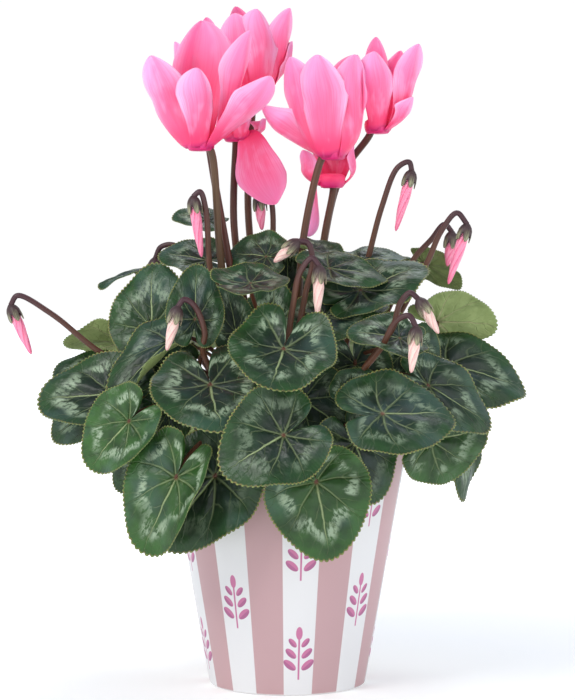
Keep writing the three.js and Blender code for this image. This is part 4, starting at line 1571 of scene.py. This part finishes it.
@dataclass
class Petal:
    """One swept-back petal: its tip, measured from the mouth, its width and its turn.

    turn twists it, in degrees. bow is how far it first swings outwards. cup and slant are shares of its
    half width. ROOT_RISE, LEAN and FOLD each hold a number for a petal that stands up, and then one for
    a petal that hangs.
    """

    tip: Row
    wide: float
    turn: float = 0.0
    bow: float = 12.0
    cup: float = 0.25
    slant: float = 0.18

    ROOT_RISE = (0.2, 1.0)
    LEAN = (0.45, 2.2)
    FOLD = (0.7, 0.0)

    ROWS = 38
    COLUMNS = 25
    LAST_ROW = 0.9985
    THICKNESS = 0.55
    EDGE_THINNING = 0.45
    ROOT = 6.0
    STEEPEST = 1.3
    FLATTEST = 0.3
    CLAW = 0.42
    WIDEST = 0.68
    FOLD_FROM = (0.12, 0.7)
    FOLD_WIDTH = 0.008
    ROLL = 1.8
    RUFFLE = 0.12
    RUFFLES = 11
    SWAY = 0.11

    @property
    def hangs(self) -> bool:
        """Whether it hangs, and doesn't stand up."""
        return self.tip[2] <= 0

    @property
    def side(self) -> float:
        """The side that it turns to, as 1 or -1."""
        return 1.0 if self.turn >= 0 else -1.0

    def width_along(self, share: np.ndarray) -> np.ndarray:
        """How wide it is along its length: a narrow claw, a broad blade and a round end.

        Args:
            share: Shares of the way to the tip.

        Returns:
            The width at each, as a share of the greatest.
        """
        claw = self.CLAW + (1 - self.CLAW) * (share / self.WIDEST) ** 1.1
        end = np.maximum(0, share - self.WIDEST) / (1.003 - self.WIDEST)
        return np.where(share < self.WIDEST, claw, np.maximum(0, 1 - end ** 1.8) ** 0.68)

    def control(self, mouth: np.ndarray, outward: np.ndarray) -> list[np.ndarray]:
        """The control points of its middle line.

        Args:
            mouth: The middle of the ring that it springs from.
            outward: The level direction that it springs in.

        Returns:
            The four points, from the ring to the tip.
        """
        tip = np.array(self.tip, float)
        root = mouth + outward * self.ROOT + UP * self.ROOT_RISE[self.hangs]
        steepness = min(max(tip[2] / 30, self.FLATTEST), self.STEEPEST)
        shoulder = root + outward * self.bow + UP * steepness * self.bow
        end = mouth + tip
        lean = self.LEAN[self.hangs]
        near_end = end - 0.4 * np.linalg.norm(tip) * unit(tip * np.array([lean, lean, 1.0]))
        return [root, shoulder, near_end, end]

    def rise(self, across: np.ndarray, share: np.ndarray, phase: float) -> np.ndarray:
        """How it rises from flat: a cup, a fold along it, rolled sides and a ruffled edge.

        Args:
            across: How far each point lies to the side, from -1 to 1.
            share: Its share of the way to the tip.
            phase: What shifts the ruffles.

        Returns:
            The heights, as shares of the half width there.
        """
        late = smoothstep(share, *self.FOLD_FROM)
        crease = self.side * (0.62 * share - 0.3)
        folded = np.sqrt((across - crease) ** 2 + self.FOLD_WIDTH) - 0.5
        rolled = (np.maximum(0, self.side * across - 0.5) ** 2
                  - 0.6 * np.maximum(0, -self.side * across - 0.55) ** 2)
        ruffle = np.abs(across) ** 3 * np.sin(self.RUFFLES * share + phase + 2 * across)
        fold = self.FOLD[self.hangs] * (folded - self.ROLL * rolled)
        return self.cup * across ** 2 + self.slant * across + late * (fold + self.RUFFLE * ruffle)

    def patch(self, mouth: np.ndarray, finish: int, seed: float) -> Patch:
        """The petal as a thin closed piece.

        Args:
            mouth: The middle of the ring that it springs from.
            finish: The number of its finish.
            seed: What makes it differ from the others.

        Returns:
            The patch.
        """
        outward = unit(np.array([self.tip[0], self.tip[1] * 1.5 - 0.01, 0.0]))
        control = self.control(mouth, outward)
        along = 1 - (1 - np.linspace(0, self.LAST_ROW ** 0.5, self.ROWS)) ** 1.35
        line, tangent = bezier(control, along), bezier_direction(control, along)
        level = np.broadcast_to(np.cross(UP, outward), tangent.shape)
        width = turned(level, tangent, np.radians(self.turn * np.sqrt(along)))
        width = unit(width - tangent * np.sum(width * tangent, axis=1, keepdims=True))
        face = np.cross(tangent, width)
        share = along[:, None]
        across = np.linspace(-1, 1, self.COLUMNS)
        half = self.width_along(share) * self.wide / 2
        lift = half * self.rise(across, share, 37 * seed)
        outer = self.side if self.hangs else -self.side
        sway = outer * self.SWAY * self.wide * smoothstep(share, 0.55, 1.0)
        sheet = (line[:, None] + (half * across + sway)[..., None] * width[:, None]
                 + lift[..., None] * face[:, None])
        place = np.stack([np.broadcast_to(across, lift.shape), np.broadcast_to(share, lift.shape),
                          lift / 10], axis=2)
        thinning = (1 - self.EDGE_THINNING * np.abs(across) ** 4) * (1 - self.EDGE_THINNING * share ** 3)
        return sheet_patch(sheet, self.THICKNESS * thinning, finish, place, (seed, 0, 0))


@dataclass
class Bloom:
    """A flower: its mouth, its stalk's way up to it, and its five petals.

    enter is how far beside the middle of the mouth the stalk comes in. The profile is the mouth's
    radius and height.
    """

    mouth: Row
    stem: list[Row]
    enter: Range
    petals: list[Petal]

    MOUTH_SLOPE = 0.2
    MOUTH_RADIUS = 6.0
    MOUTH_SIDES = 60
    MOUTH_SWELL = 0.045
    MOUTH_PROFILE = ((0, -0.4), (2.4, -0.7), (4.2, -1.2), (5.6, -0.9), (6.4, 0.2), (6.9, 2.0),
                     (7.0, 3.8), (6.6, 5.4), (5.4, 6.2), (3.4, 6.5), (0, 6.6))

    def patches(self, number: int) -> list[Patch]:
        """The flower's mouth and petals.

        Args:
            number: Its place in the list.

        Returns:
            Its patches.
        """
        mouth = np.array(self.mouth, float)
        collar = turned_patch(self.MOUTH_PROFILE, self.MOUTH_SIDES, 0, self.MOUTH_SWELL)
        height = collar.points[:, 2]
        share = 0.014 + 0.016 * np.maximum(0, height)
        collar.place = np.stack([0 * height, share, 0 * height], axis=1)
        collar.points = collar.points + mouth
        petals = [petal.patch(mouth, 0, seed_of(5 * number + index, SeedBlock.PETAL))
                  for index, petal in enumerate(self.petals)]
        return [collar, *petals]

    def stalk_line(self, foot_height: float, stalk_radius: float) -> np.ndarray:
        """The stalk's middle line, which ends inside the mouth.

        Args:
            foot_height: How high it starts.
            stalk_radius: How thick it is.

        Returns:
            Its points.
        """
        mouth, enter = np.array(self.mouth, float), np.array([*self.enter, 0.0])
        aside = min(self.MOUTH_RADIUS, math.hypot(*self.enter) + stalk_radius)
        low = 0.75 + self.MOUTH_SLOPE * aside
        return through([*from_foot(self.stem, foot_height), mouth + enter - UP * low,
                        mouth + 0.6 * enter + UP * 2], STALK_STEPS)


# The flowers: the mouth, the stalk's path, where it enters, and each petal's tip, width and turn.
BLOOMS: dict[str, Bloom] = {
    "bloom_1": Bloom((-44.7, -30, 279), [(-8, -6), (-24, -16, 165), (-34, -25, 221)], (6, 1), [
        Petal((-22, -8, 47), 24, 50), Petal((-2, 9, 66), 31, 15), Petal((1, -14, 40), 21, 35),
        Petal((34, -9, 37), 22, -60), Petal((23, 6, 61), 27, -80)]),
    "bloom_2": Bloom((23, -16, 275), [(2, -5), (5, -14, 180), (8, -20, 232)], (-6, 0), [
        Petal((-19, -2, 52), 25, 60), Petal((-5, -11, 52), 26, 15), Petal((9, -2, 53), 27, -60),
        Petal((14, 10, 54), 24, -20), Petal((-35, 7, 28), 22, 60)]),
    "bloom_3": Bloom((47, 5, 289.5), [(6, 6), (14, 16, 180), (19.5, 19, 232), (28, 20, 266)], (-4, 4), [
        Petal((1, 6, 50), 12, -10), Petal((0, -10, 41), 20, 15), Petal((19.5, -2, 46), 22, -64),
        Petal((11, 8, 43), 18, 10), Petal((17, -8, 18), 14, -30)]),
    "bloom_4": Bloom((-17, 17, 309), [(-2, 5), (-13, 16, 180), (-21, 20, 250)], (-1, 1), [
        Petal((-8, 9, 48), 22, -10), Petal((-8, -7, 43), 26, 30), Petal((3, -6, 45), 24, 10),
        Petal((16, 3, 47), 23, -80), Petal((19, 8, 30), 18, -45)]),
    "bloom_5": Bloom((23, 2, 261), [(6, 1), (14, 4, 180), (19, 2, 232)], (1, 0), [
        Petal((-12, -3, -27), 10, 60, 7), Petal((-14, -1, 19), 12, 60), Petal((11, 2, 21), 12, -60),
        Petal((-3, 8, 30), 18, 10), Petal((6, 9, 28), 16, -10)]),
    "bloom_6": Bloom((-27, 2, 285), [(-4, 1), (-19, 4, 180), (-28, 2, 240)], (0, 0), [
        Petal((20, -8, -34), 26, 10, 4, slant=0.5), Petal((15, 6, 12), 16, -50),
        Petal((-5, -4, 22), 13, 40, 7), Petal((2, -4, 24), 14, 0, 7), Petal((3, 8, 18), 12, 0, 5)]),
    "bloom_7": Bloom((-44, 8, 303), [(-6, -3), (-21, -10, 165), (-30, -19, 221), (-39, -8, 270)], (0, 0), [
        Petal((0, 4, 47), 14, 30), Petal((3, 9, 38), 14, -20, 8), Petal((-12, 12, 36), 16, 30, 9),
        Petal((-14, 0, 34), 15, 50, 9), Petal((2, -7, 34), 13, -20, 7)]),
}


class BudColour(Enum):
    """The two colours of bud, named as the record names their slots."""

    PALE = "pale_bud"
    PINK = "pink_bud"


@dataclass
class Bud:
    """A hooked stalk with its hanging bud. The calyx belongs to the stalk.

    A profile is a radius at each place along: from the stalk's end in millimetres for the calyx, and as
    a share of the bud for the petals. HIDDEN is how much of the bud is out of sight in the calyx.
    """

    colour: BudColour
    tip: Row
    path: list[Row]

    CALYX_LENGTH = 6.0
    CALYX_CUP = 0.72
    CALYX_START = -0.5
    CALYX_ROWS = 16
    CALYX_COLUMNS = 81
    CALYX_PROFILE = ((-0.5, 0.9), (0.3, 1.7), (1.4, 2.6), (3.0, 3.25), (6.0, 3.55), (9.6, 3.3))
    SEPAL = 3.4
    SEPAL_KEEL = 0.06
    SEPAL_THICKNESS = 0.5
    HIDDEN = CALYX_LENGTH + 0.65 * SEPAL - 3.5
    ROWS = 40
    SIDES = 60
    PROFILE = ((0, 2.3), (0.12, 2.6), (0.3, 2.75), (0.6, 2.2), (0.85, 1.35), (0.95, 0.95), (1.0, 0.35))
    PLEATS = 5
    PLEAT_FLOOR = 0.86
    PLEAT_HEIGHT = 0.2
    PLEAT_STEP = 0.16
    PLEAT_SLOPE = 0.55
    TWIST = 2.6
    POINT = 0.2

    def hang(self) -> tuple[np.ndarray, np.ndarray, float]:
        """How the bud hangs.

        Returns:
            Where the stalk ends, the direction to the bud's tip, and how far it is.
        """
        top = np.array(self.path[-1], float)
        down = np.array(self.tip, float) - top
        return top, unit(down), float(np.linalg.norm(down))

    def basis(self, direction: np.ndarray) -> tuple[np.ndarray, np.ndarray]:
        """Two directions square to the one that the bud hangs in."""
        side = unit(np.cross(direction, BACKWARDS))
        return side, np.cross(direction, side)

    def furled(self, seed: float) -> Patch:
        """The furled petals, from inside the calyx to the point.

        Args:
            seed: What makes this bud differ from the others.

        Returns:
            The patch.
        """
        top, direction, length = self.hang()
        side, other = self.basis(direction)
        angle = np.linspace(0, 2 * math.pi, self.SIDES, endpoint=False)
        round_it = np.cos(angle)[:, None] * side + np.sin(angle)[:, None] * other
        share = np.linspace(0, 1, self.ROWS)
        rings, places = [], []
        for s, r in zip(share, np.interp(share, *zip(*self.PROFILE))):
            turn = angle - self.TWIST * s
            saw = (self.PLEATS * turn / (2 * math.pi)) % 1.0
            pleat = smoothstep(saw, 0.0, self.PLEAT_STEP) * (1 - self.PLEAT_SLOPE * saw)
            middle = top + direction * (self.HIDDEN + (length - self.HIDDEN) * s)
            ring_radius = r * (self.PLEAT_FLOOR + self.PLEAT_HEIGHT * pleat)
            rings.append(middle + ring_radius[:, None] * round_it)
            places.append(np.stack([pleat, np.full(self.SIDES, s), angle], axis=1))
        points, faces = closed_rings(rings, top + direction * self.HIDDEN,
                                     top + direction * (length + self.POINT))
        return Patch(points, faces, 0, np.vstack([*places, (1, 0, 0), (0.5, 1, 0)]), (seed, 0.0, 0.0))

    def calyx(self, finish: int, seed: float) -> Patch:
        """The cup of five pointed sepals.

        Args:
            finish: The number of its finish.
            seed: What makes it differ from the others.

        Returns:
            The patch.
        """
        top, direction, _ = self.hang()
        side, other = self.basis(direction)
        angle = np.linspace(0, 2 * math.pi, self.CALYX_COLUMNS)
        keel = np.abs(np.cos(SEPALS / 2 * angle))
        lobe = keel ** 0.85
        cup = self.CALYX_LENGTH * self.CALYX_CUP
        reach = cup + (self.CALYX_LENGTH - cup + self.SEPAL) * lobe
        share = np.linspace(0, 1, self.CALYX_ROWS)[:, None]
        along = share * reach + self.CALYX_START
        radius = np.interp(along, *zip(*self.CALYX_PROFILE)) * (1 + self.SEPAL_KEEL * keel * share)
        sheet = (top + along[..., None] * direction
                 + (radius * np.cos(angle))[..., None] * side + (radius * np.sin(angle))[..., None] * other)
        place = np.stack([np.broadcast_to(part, radius.shape) for part in (angle, share, lobe)], axis=2)
        thickness = np.full(radius.shape, self.SEPAL_THICKNESS)
        pale = 1.0 if self.colour is BudColour.PALE else 0.0
        return sheet_patch(sheet[:, ::-1], thickness, finish, place[:, ::-1], (seed, pale, 0.0))


# The buds: the colour, the tip, and the stalk's path up and over its hook.
BUDS: dict[str, Bud] = {
    "bud_1": Bud(BudColour.PINK, (-132, -22, 174), [
        (-12, -3), (-55, -12, 150), (-97, -20, 175), (-122, -22, 195), (-139, -22, 204), (-142.5, -22, 199)]),
    "bud_2": Bud(BudColour.PALE, (-59.5, -72, 178), [
        (-10, -9), (-28, -40, 150), (-42, -64, 177), (-41, -68, 187), (-46, -70, 200), (-51, -71, 203),
        (-54, -72, 199.5)]),
    "bud_3": Bud(BudColour.PINK, (-43.7, -34, 224), [
        (-10, -5), (-33, -24, 180), (-39.6, -31, 218), (-41.6, -33, 248), (-44.5, -34, 257),
        (-48, -34, 254.5)]),
    "bud_4": Bud(BudColour.PINK, (-13.4, 0, 238), [
        (-3, -2), (-6, 0, 180), (-7.6, 0, 223), (-8.1, 0, 251), (-11, 0, 260), (-15, 0, 256.5)]),
    "bud_5": Bud(BudColour.PALE, (-6.7, -60, 221.5), [
        (2, -10), (3, -46, 170), (9, -60, 206), (12.5, -60, 222), (10, -60, 231), (5.5, -60, 232)]),
    "bud_6": Bud(BudColour.PALE, (14.6, -70, 194.4), [
        (-1, -12), (-1, -52, 168), (3, -68, 202), (6, -70, 216), (12, -70, 223.5), (15.8, -70, 219.5)]),
    "bud_7": Bud(BudColour.PINK, (56.2, -10, 237.4), [
        (9, 0), (34, -6, 190), (43.4, -9, 229), (49, -10, 250), (57, -10, 270), (63, -10, 273),
        (64.5, -10, 268.5)]),
    "bud_8": Bud(BudColour.PINK, (82.7, -22, 210), [
        (11, -4), (50, -16, 180), (71.9, -20, 221), (79, -21, 237), (87, -22, 246.5), (92.4, -22, 240.5)]),
    "bud_9": Bud(BudColour.PINK, (84.6, 12, 219), [
        (11, 4), (48, 10, 185), (66.3, 11, 222), (76, 12, 233), (83, 12, 241), (87, 12, 237)]),
    "bud_10": Bud(BudColour.PALE, (73.9, -80, 186.7), [
        (8, -8), (36, -58, 165), (52, -76, 190), (55, -78, 201), (60, -79, 206.5), (64, -80, 203.5)]),
    "bud_11": Bud(BudColour.PALE, (60, -90, 168), [
        (6, -10), (30, -62, 158), (46, -80, 180), (53, -86, 193), (59, -88, 195.5), (62.5, -89, 190)]),
    "bud_12": Bud(BudColour.PINK, (-73, 13, 198), [
        (-10, 3), (-34, 8, 190), (-52, 10, 221), (-60, 11, 230), (-67, 12, 229), (-70, 13, 223)]),
}


@dataclass
class Flowers:
    """The open flowers, and the furled petals of the buds in their own colours."""

    blooms: dict[str, Bloom] = field(default_factory=lambda: BLOOMS)
    buds: dict[str, Bud] = field(default_factory=lambda: BUDS)
    petal: PetalFinish = PetalFinish()
    pink: BudFinish = BudFinish(BudColour.PINK.value, light=srgb(247, 150, 180), deep=srgb(230, 80, 128))
    pale: BudFinish = BudFinish(BudColour.PALE.value, light=srgb(242, 212, 200), deep=srgb(226, 160, 160))

    def build(self) -> None:
        """Makes the petals of every flower, and then of every bud."""
        petal = self.petal.build()
        for number, (name, bloom) in enumerate(self.blooms.items()):
            make_piece(f"{name}_petals", bloom.patches(number), [petal], name)
        furled = {finish.name: finish.build() for finish in (self.pink, self.pale)}
        for number, (name, bud) in enumerate(self.buds.items()):
            slot = bud.colour.value
            make_piece(f"{name}_furled", [bud.furled(seed_of(number))], [furled[slot]], name)


@dataclass
class Crown:
    """The corm with all the stalks that grow from it, and the calyxes at the ends of the bud stalks.

    A leaf's stalk starts between foot_spread, as shares of the corm's radius: a leaf whose blade is at
    reach or beyond starts the farthest out, and lowest by foot_fall. The reds tell how wine red a stalk
    is, and the purple how far it turns purple towards its end.
    """

    radius: float = 19.0
    top: float = 113.0
    bottom: float = 93.0
    foot_below_top: float = 4.0
    foot_spread: Range = (0.2, 0.85)
    foot_fall: float = 3.0
    reach: float = 110.0
    sides: int = 60
    levels: int = 22
    lumps: int = 7
    lump_height: float = 0.02
    leaf_sunk: float = 0.2
    leaf_steps: int = 30
    leaf_red: float = 0.7
    flower_stalk: float = 1.9
    flower_sides: int = 16
    flower_reds: Row = (0.15, 0.55, 0.7, 0.6, 0.5, 0.8, 0.9)
    flower_purple: float = 0.25
    bud_stalk: float = 1.45
    bud_taper: Range = (1.1, 0.95)
    bud_sides: int = 14
    bud_red: float = 0.6
    bud_purple: float = 1.0

    @property
    def foot_height(self) -> float:
        """How high the stalks start."""
        return self.top - self.foot_below_top

    def build(self, stalk: bpy.types.Material, calyx: bpy.types.Material, corm: bpy.types.Material) -> None:
        """Makes the piece.

        Args:
            stalk: The stalks' material.
            calyx: The calyxes' material.
            corm: The corm's material.
        """
        patches = [self.corm_patch(2)]
        for number, blade in enumerate(LEAVES.values()):
            make = (seed_of(number), self.leaf_red, 0.0)
            patches.append(blade.stalk_patch(self.leaf_foot(blade), self.leaf_sunk, self.leaf_steps, 0, make))
        for number, (bloom, red) in enumerate(zip(BLOOMS.values(), self.flower_reds)):
            line = bloom.stalk_line(self.foot_height, self.flower_stalk)
            radius = np.full(len(line), self.flower_stalk)
            make = (seed_of(number, SeedBlock.FLOWER_STALK), red, self.flower_purple)
            patches.append(tube_patch(line, radius, self.flower_sides, 0, make))
        for number, bud in enumerate(BUDS.values()):
            line = through(from_foot(bud.path, self.foot_height), STALK_STEPS)
            radius = self.bud_stalk * np.linspace(*self.bud_taper, len(line))
            make = (seed_of(number, SeedBlock.BUD_STALK), self.bud_red, self.bud_purple)
            patches.append(tube_patch(line, radius, self.bud_sides, 0, make))
            patches.append(bud.calyx(1, seed_of(number, SeedBlock.CALYX)))
        make_piece("crown_and_stalks", patches, [stalk, calyx, corm], "corm_with_stems")

    def leaf_foot(self, blade: Blade) -> np.ndarray:
        """The foot of a leaf's stalk on the crown, on the side that its blade stands.

        Args:
            blade: The leaf's blade.

        Returns:
            The foot.
        """
        direction = unit(np.array([blade.at[0], blade.at[1], 0.0]))
        near, far = self.foot_spread
        spread = near + (far - near) * min(1.0, math.hypot(blade.at[0], blade.at[1]) / self.reach)
        return direction * spread * self.radius + UP * (self.foot_height - self.foot_fall * spread)

    def corm_patch(self, finish: int) -> Patch:
        """The corm, a flattened and slightly lumpy ball.

        Args:
            finish: The number of its finish.

        Returns:
            The patch.
        """
        middle, half = (self.top + self.bottom) / 2, (self.top - self.bottom) / 2
        angles = np.linspace(-math.pi / 2, math.pi / 2, self.levels)
        profile = [(self.radius * math.cos(a), middle + half * math.sin(a)) for a in angles]
        return turned_patch(profile, self.sides, finish, self.lump_height, self.lumps)


# ---- Pots and soil ---------------------------------------


@dataclass
class CoverPot:
    """The thin printed cover pot.

    base_corner is how far in and up the round of the base has a point, and wall_top how far below the
    rim the straight wall ends.
    """

    rim_radius: float = 63.0
    base_radius: float = 41.0
    height: float = 125.0
    wall: float = 1.6
    floor: float = 1.8
    sides: int = 180
    levels: int = 14
    base_round: float = 1.2
    base_corner: Range = (0.35, 0.3)
    rim_round: float = 0.35
    wall_top: float = 1.0

    def build(self, material: bpy.types.Material) -> None:
        """Makes the pot.

        Args:
            material: Its print.
        """
        slope = (self.rim_radius - self.base_radius) / self.height
        heights = np.linspace(self.base_round, self.height - self.wall_top, self.levels)
        outer = [(self.base_radius + slope * z, z) for z in heights]
        inner = [(r - self.wall, z) for r, z in reversed(outer) if z > self.floor + 1]
        soft, (corner_in, corner_up) = self.rim_round, self.base_corner
        inside = self.rim_radius - self.wall
        profile = [(0, 0), (self.base_radius - self.base_round, 0), (self.base_radius - corner_in, corner_up),
                   *outer, (self.rim_radius - slope * soft, self.height - soft),
                   (self.rim_radius - soft, self.height), (inside + soft, self.height),
                   (inside, self.height - soft), *inner, (self.base_radius - self.wall, self.floor),
                   (0, self.floor)]
        patch = turned_patch(profile, self.sides, 0)
        make_piece("printed_cover_pot", [patch], [material], "pot_cover")


@dataclass
class NurseryPot:
    """The plain pot that the plant grows in."""

    rim_radius: float = 57.5
    base_radius: float = 37.2
    height: float = 106.0
    wall: float = 1.2
    floor: float = 1.6
    standing: float = 2.1
    sides: int = 120
    levels: int = 10
    base_round: float = 0.6
    rim_round: float = 0.3
    wall_top: float = 0.4

    def build(self, material: bpy.types.Material) -> None:
        """Makes the pot.

        Args:
            material: Its plastic.
        """
        slope = (self.rim_radius - self.base_radius) / self.height
        heights = np.linspace(self.base_round, self.height - self.wall_top, self.levels)
        outer = [(self.base_radius + slope * z, z) for z in heights]
        inner = [(r - self.wall, z) for r, z in reversed(outer) if z > self.floor]
        profile = [(0, 0), (self.base_radius - self.base_round, 0), *outer,
                   (self.rim_radius - self.rim_round, self.height),
                   (self.rim_radius - self.wall + self.rim_round, self.height),
                   *inner, (self.base_radius - self.wall, self.floor), (0, self.floor)]
        patch = turned_patch(profile, self.sides, 0)
        patch.points[:, 2] += self.standing
        make_piece("plain_nursery_pot", [patch], [material], "nursery_pot")


@dataclass
class PottingSoil:
    """The potting soil, with a crumbly top."""

    level: float = 101.0
    crown: float = 2.5
    edge_radius: float = 54.0
    bottom: float = 4.2
    bottom_radius: float = 35.0
    sides: int = 110
    rings: int = 30
    crumb: float = 0.8
    crumb_waves: Row = (0.35, 0.8, 1.7)

    def build(self, material: bpy.types.Material) -> None:
        """Makes the soil.

        Args:
            material: Its finish.
        """
        shares = np.linspace(0.97, 0.03, self.rings)
        top = [(self.edge_radius * s, self.level + self.crown * (1 - s * s)) for s in shares]
        profile = [(0, self.bottom), (self.bottom_radius, self.bottom), (self.edge_radius, self.level),
                   *top, (0, self.level + self.crown)]
        patch = turned_patch(profile, self.sides, 0)
        x, y, z = patch.points.T
        lumps = sum(np.sin(x * f + 1.3 * f + 0.7 * y) * np.cos(y * f * 1.1 - 2.1 * f) / n
                    for n, f in enumerate(self.crumb_waves, start=1))
        patch.points[:, 2] += np.where(z > self.level + 0.05, self.crumb * lumps, 0)
        make_piece("crumbly_soil", [patch], [material], "soil")


# ---- Studio ----------------------------------------------


@dataclass(frozen=True)
class Lamp:
    """A soft square light: its place, what it is aimed at, its side in metres and its watts."""

    place: Row
    aim: Row
    size: float
    power: float
    colour: Row = (1.0, 1.0, 1.0)


@dataclass
class Studio:
    """The pale floor, the soft light and the camera, in metres.

    The floor glows a little, less under the pot than away from it. glow_from is in square metres, as
    the square of the distance from the pot.
    """

    focal_pixels: float = 2270.0
    frame_pixels: float = 700.0
    sensor: float = 36.0
    distance: float = 1.19
    height: float = 0.227
    pitch: float = 2.5
    floor_half: float = 6.0
    floor_paint: Paint = srgb(250, 250, 250)
    floor_glow: Range = (0.21, 0.75)
    glow_from: Range = (0.012, 0.3)
    wall: Paint = (1.02, 1.02, 1.02, 1.0)
    ceiling: Paint = (0.4, 0.44, 0.52, 1.0)
    wall_to_ceiling: Range = (0.2, 0.45)
    lamps: tuple[Lamp, ...] = (
        Lamp((-0.9, -1.1, 1.3), (0, 0, 0.16), 0.7, 15.0, (1.0, 0.98, 0.95)),
        Lamp((1.2, -0.9, 0.9), (0, 0, 0.16), 0.8, 4.0),
        Lamp((0.3, 0.8, 1.4), (0, 0, 0.2), 0.8, 7.0, (0.92, 0.96, 1.0)),
    )

    def build(self) -> None:
        """Makes the studio."""
        self.floor()
        self.world()
        for number, lamp in enumerate(self.lamps):
            self.light(f"softbox_{number}", lamp)
        self.camera()
        bpy.context.scene.view_settings.view_transform = "Standard"

    def floor(self) -> None:
        """A wide pale floor."""
        half = self.floor_half
        mesh = bpy.data.meshes.new("floor")
        corners = [(-half, -half, 0), (half, -half, 0), (half, half, 0), (-half, half, 0)]
        mesh.from_pydata(corners, [], [(0, 1, 2, 3)])
        g = Graph("floor")
        x, y, _ = g.split(g.position())
        g.set("Base Color", self.floor_paint)
        g.set("Roughness", 0.8)
        g.set("Specular IOR Level", 0.1)
        g.set("Emission Color", srgb(255, 255, 255))
        g.set("Emission Strength", g.step(x * x + y * y, *self.glow_from, *self.floor_glow))
        mesh.materials.append(g.material)
        floor = bpy.data.objects.new("floor", mesh)
        bpy.context.scene.collection.objects.link(floor)

    def world(self) -> None:
        """A white wall all round under a dimmer, cooler ceiling."""
        world = bpy.data.worlds.new("studio")
        world.use_nodes = True
        tree = world.node_tree
        place = tree.nodes.new("ShaderNodeTexCoord")
        split = tree.nodes.new("ShaderNodeSeparateXYZ")
        tree.links.new(place.outputs["Generated"], split.inputs[0])
        ramp = tree.nodes.new("ShaderNodeValToRGB")
        for stop, position, paint in zip(ramp.color_ramp.elements, self.wall_to_ceiling,
                                         (self.wall, self.ceiling)):
            stop.position = position
            stop.color = paint
        tree.links.new(split.outputs["Z"], ramp.inputs["Fac"])
        tree.links.new(ramp.outputs["Color"], tree.nodes["Background"].inputs["Color"])
        bpy.context.scene.world = world

    def light(self, name: str, lamp: Lamp) -> None:
        """One lamp.

        Args:
            name: Its name.
            lamp: The lamp.
        """
        data = bpy.data.lights.new(name, "AREA")
        data.size = lamp.size
        data.energy = lamp.power
        data.color = lamp.colour
        light = bpy.data.objects.new(name, data)
        light.location = lamp.place
        look = Vector(lamp.aim) - Vector(lamp.place)
        light.rotation_euler = look.to_track_quat("-Z", "Y").to_euler()
        bpy.context.scene.collection.objects.link(light)

    def camera(self) -> None:
        """The camera, at the viewing angle of the photograph."""
        data = bpy.data.cameras.new("camera")
        data.sensor_fit = "VERTICAL"
        data.sensor_height = self.sensor
        data.lens = self.focal_pixels / self.frame_pixels * self.sensor
        camera = bpy.data.objects.new("camera", data)
        camera.location = (0, -self.distance, self.height)
        camera.rotation_euler = (math.radians(90 - self.pitch), 0, 0)
        bpy.context.scene.collection.objects.link(camera)
        bpy.context.scene.camera = camera


# ---- Making it -------------------------------------------


def main() -> None:
    """Builds every sub-assembly around the frame and logs each piece."""
    logging.basicConfig(level=logging.INFO, format="%(name)s: %(message)s")
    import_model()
    leaf, stalk, calyx = LeafFinish().build(), StalkFinish().build(), CalyxFinish().build()
    earth = EarthFinish("potting_soil", dark=srgb(34, 24, 18), light=srgb(70, 50, 36), scale=420.0)
    skin = EarthFinish("corm_skin", dark=srgb(64, 42, 30), light=srgb(112, 80, 58), scale=160.0)
    Studio().build()
    CoverPot().build(PrintFinish().build())
    NurseryPot().build(NurseryFinish().build())
    PottingSoil().build(earth.build())
    Crown().build(stalk, calyx, skin.build())
    Foliage().build(leaf, stalk)
    Flowers().build()
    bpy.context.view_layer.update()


if __name__ == "__main__":
    main()
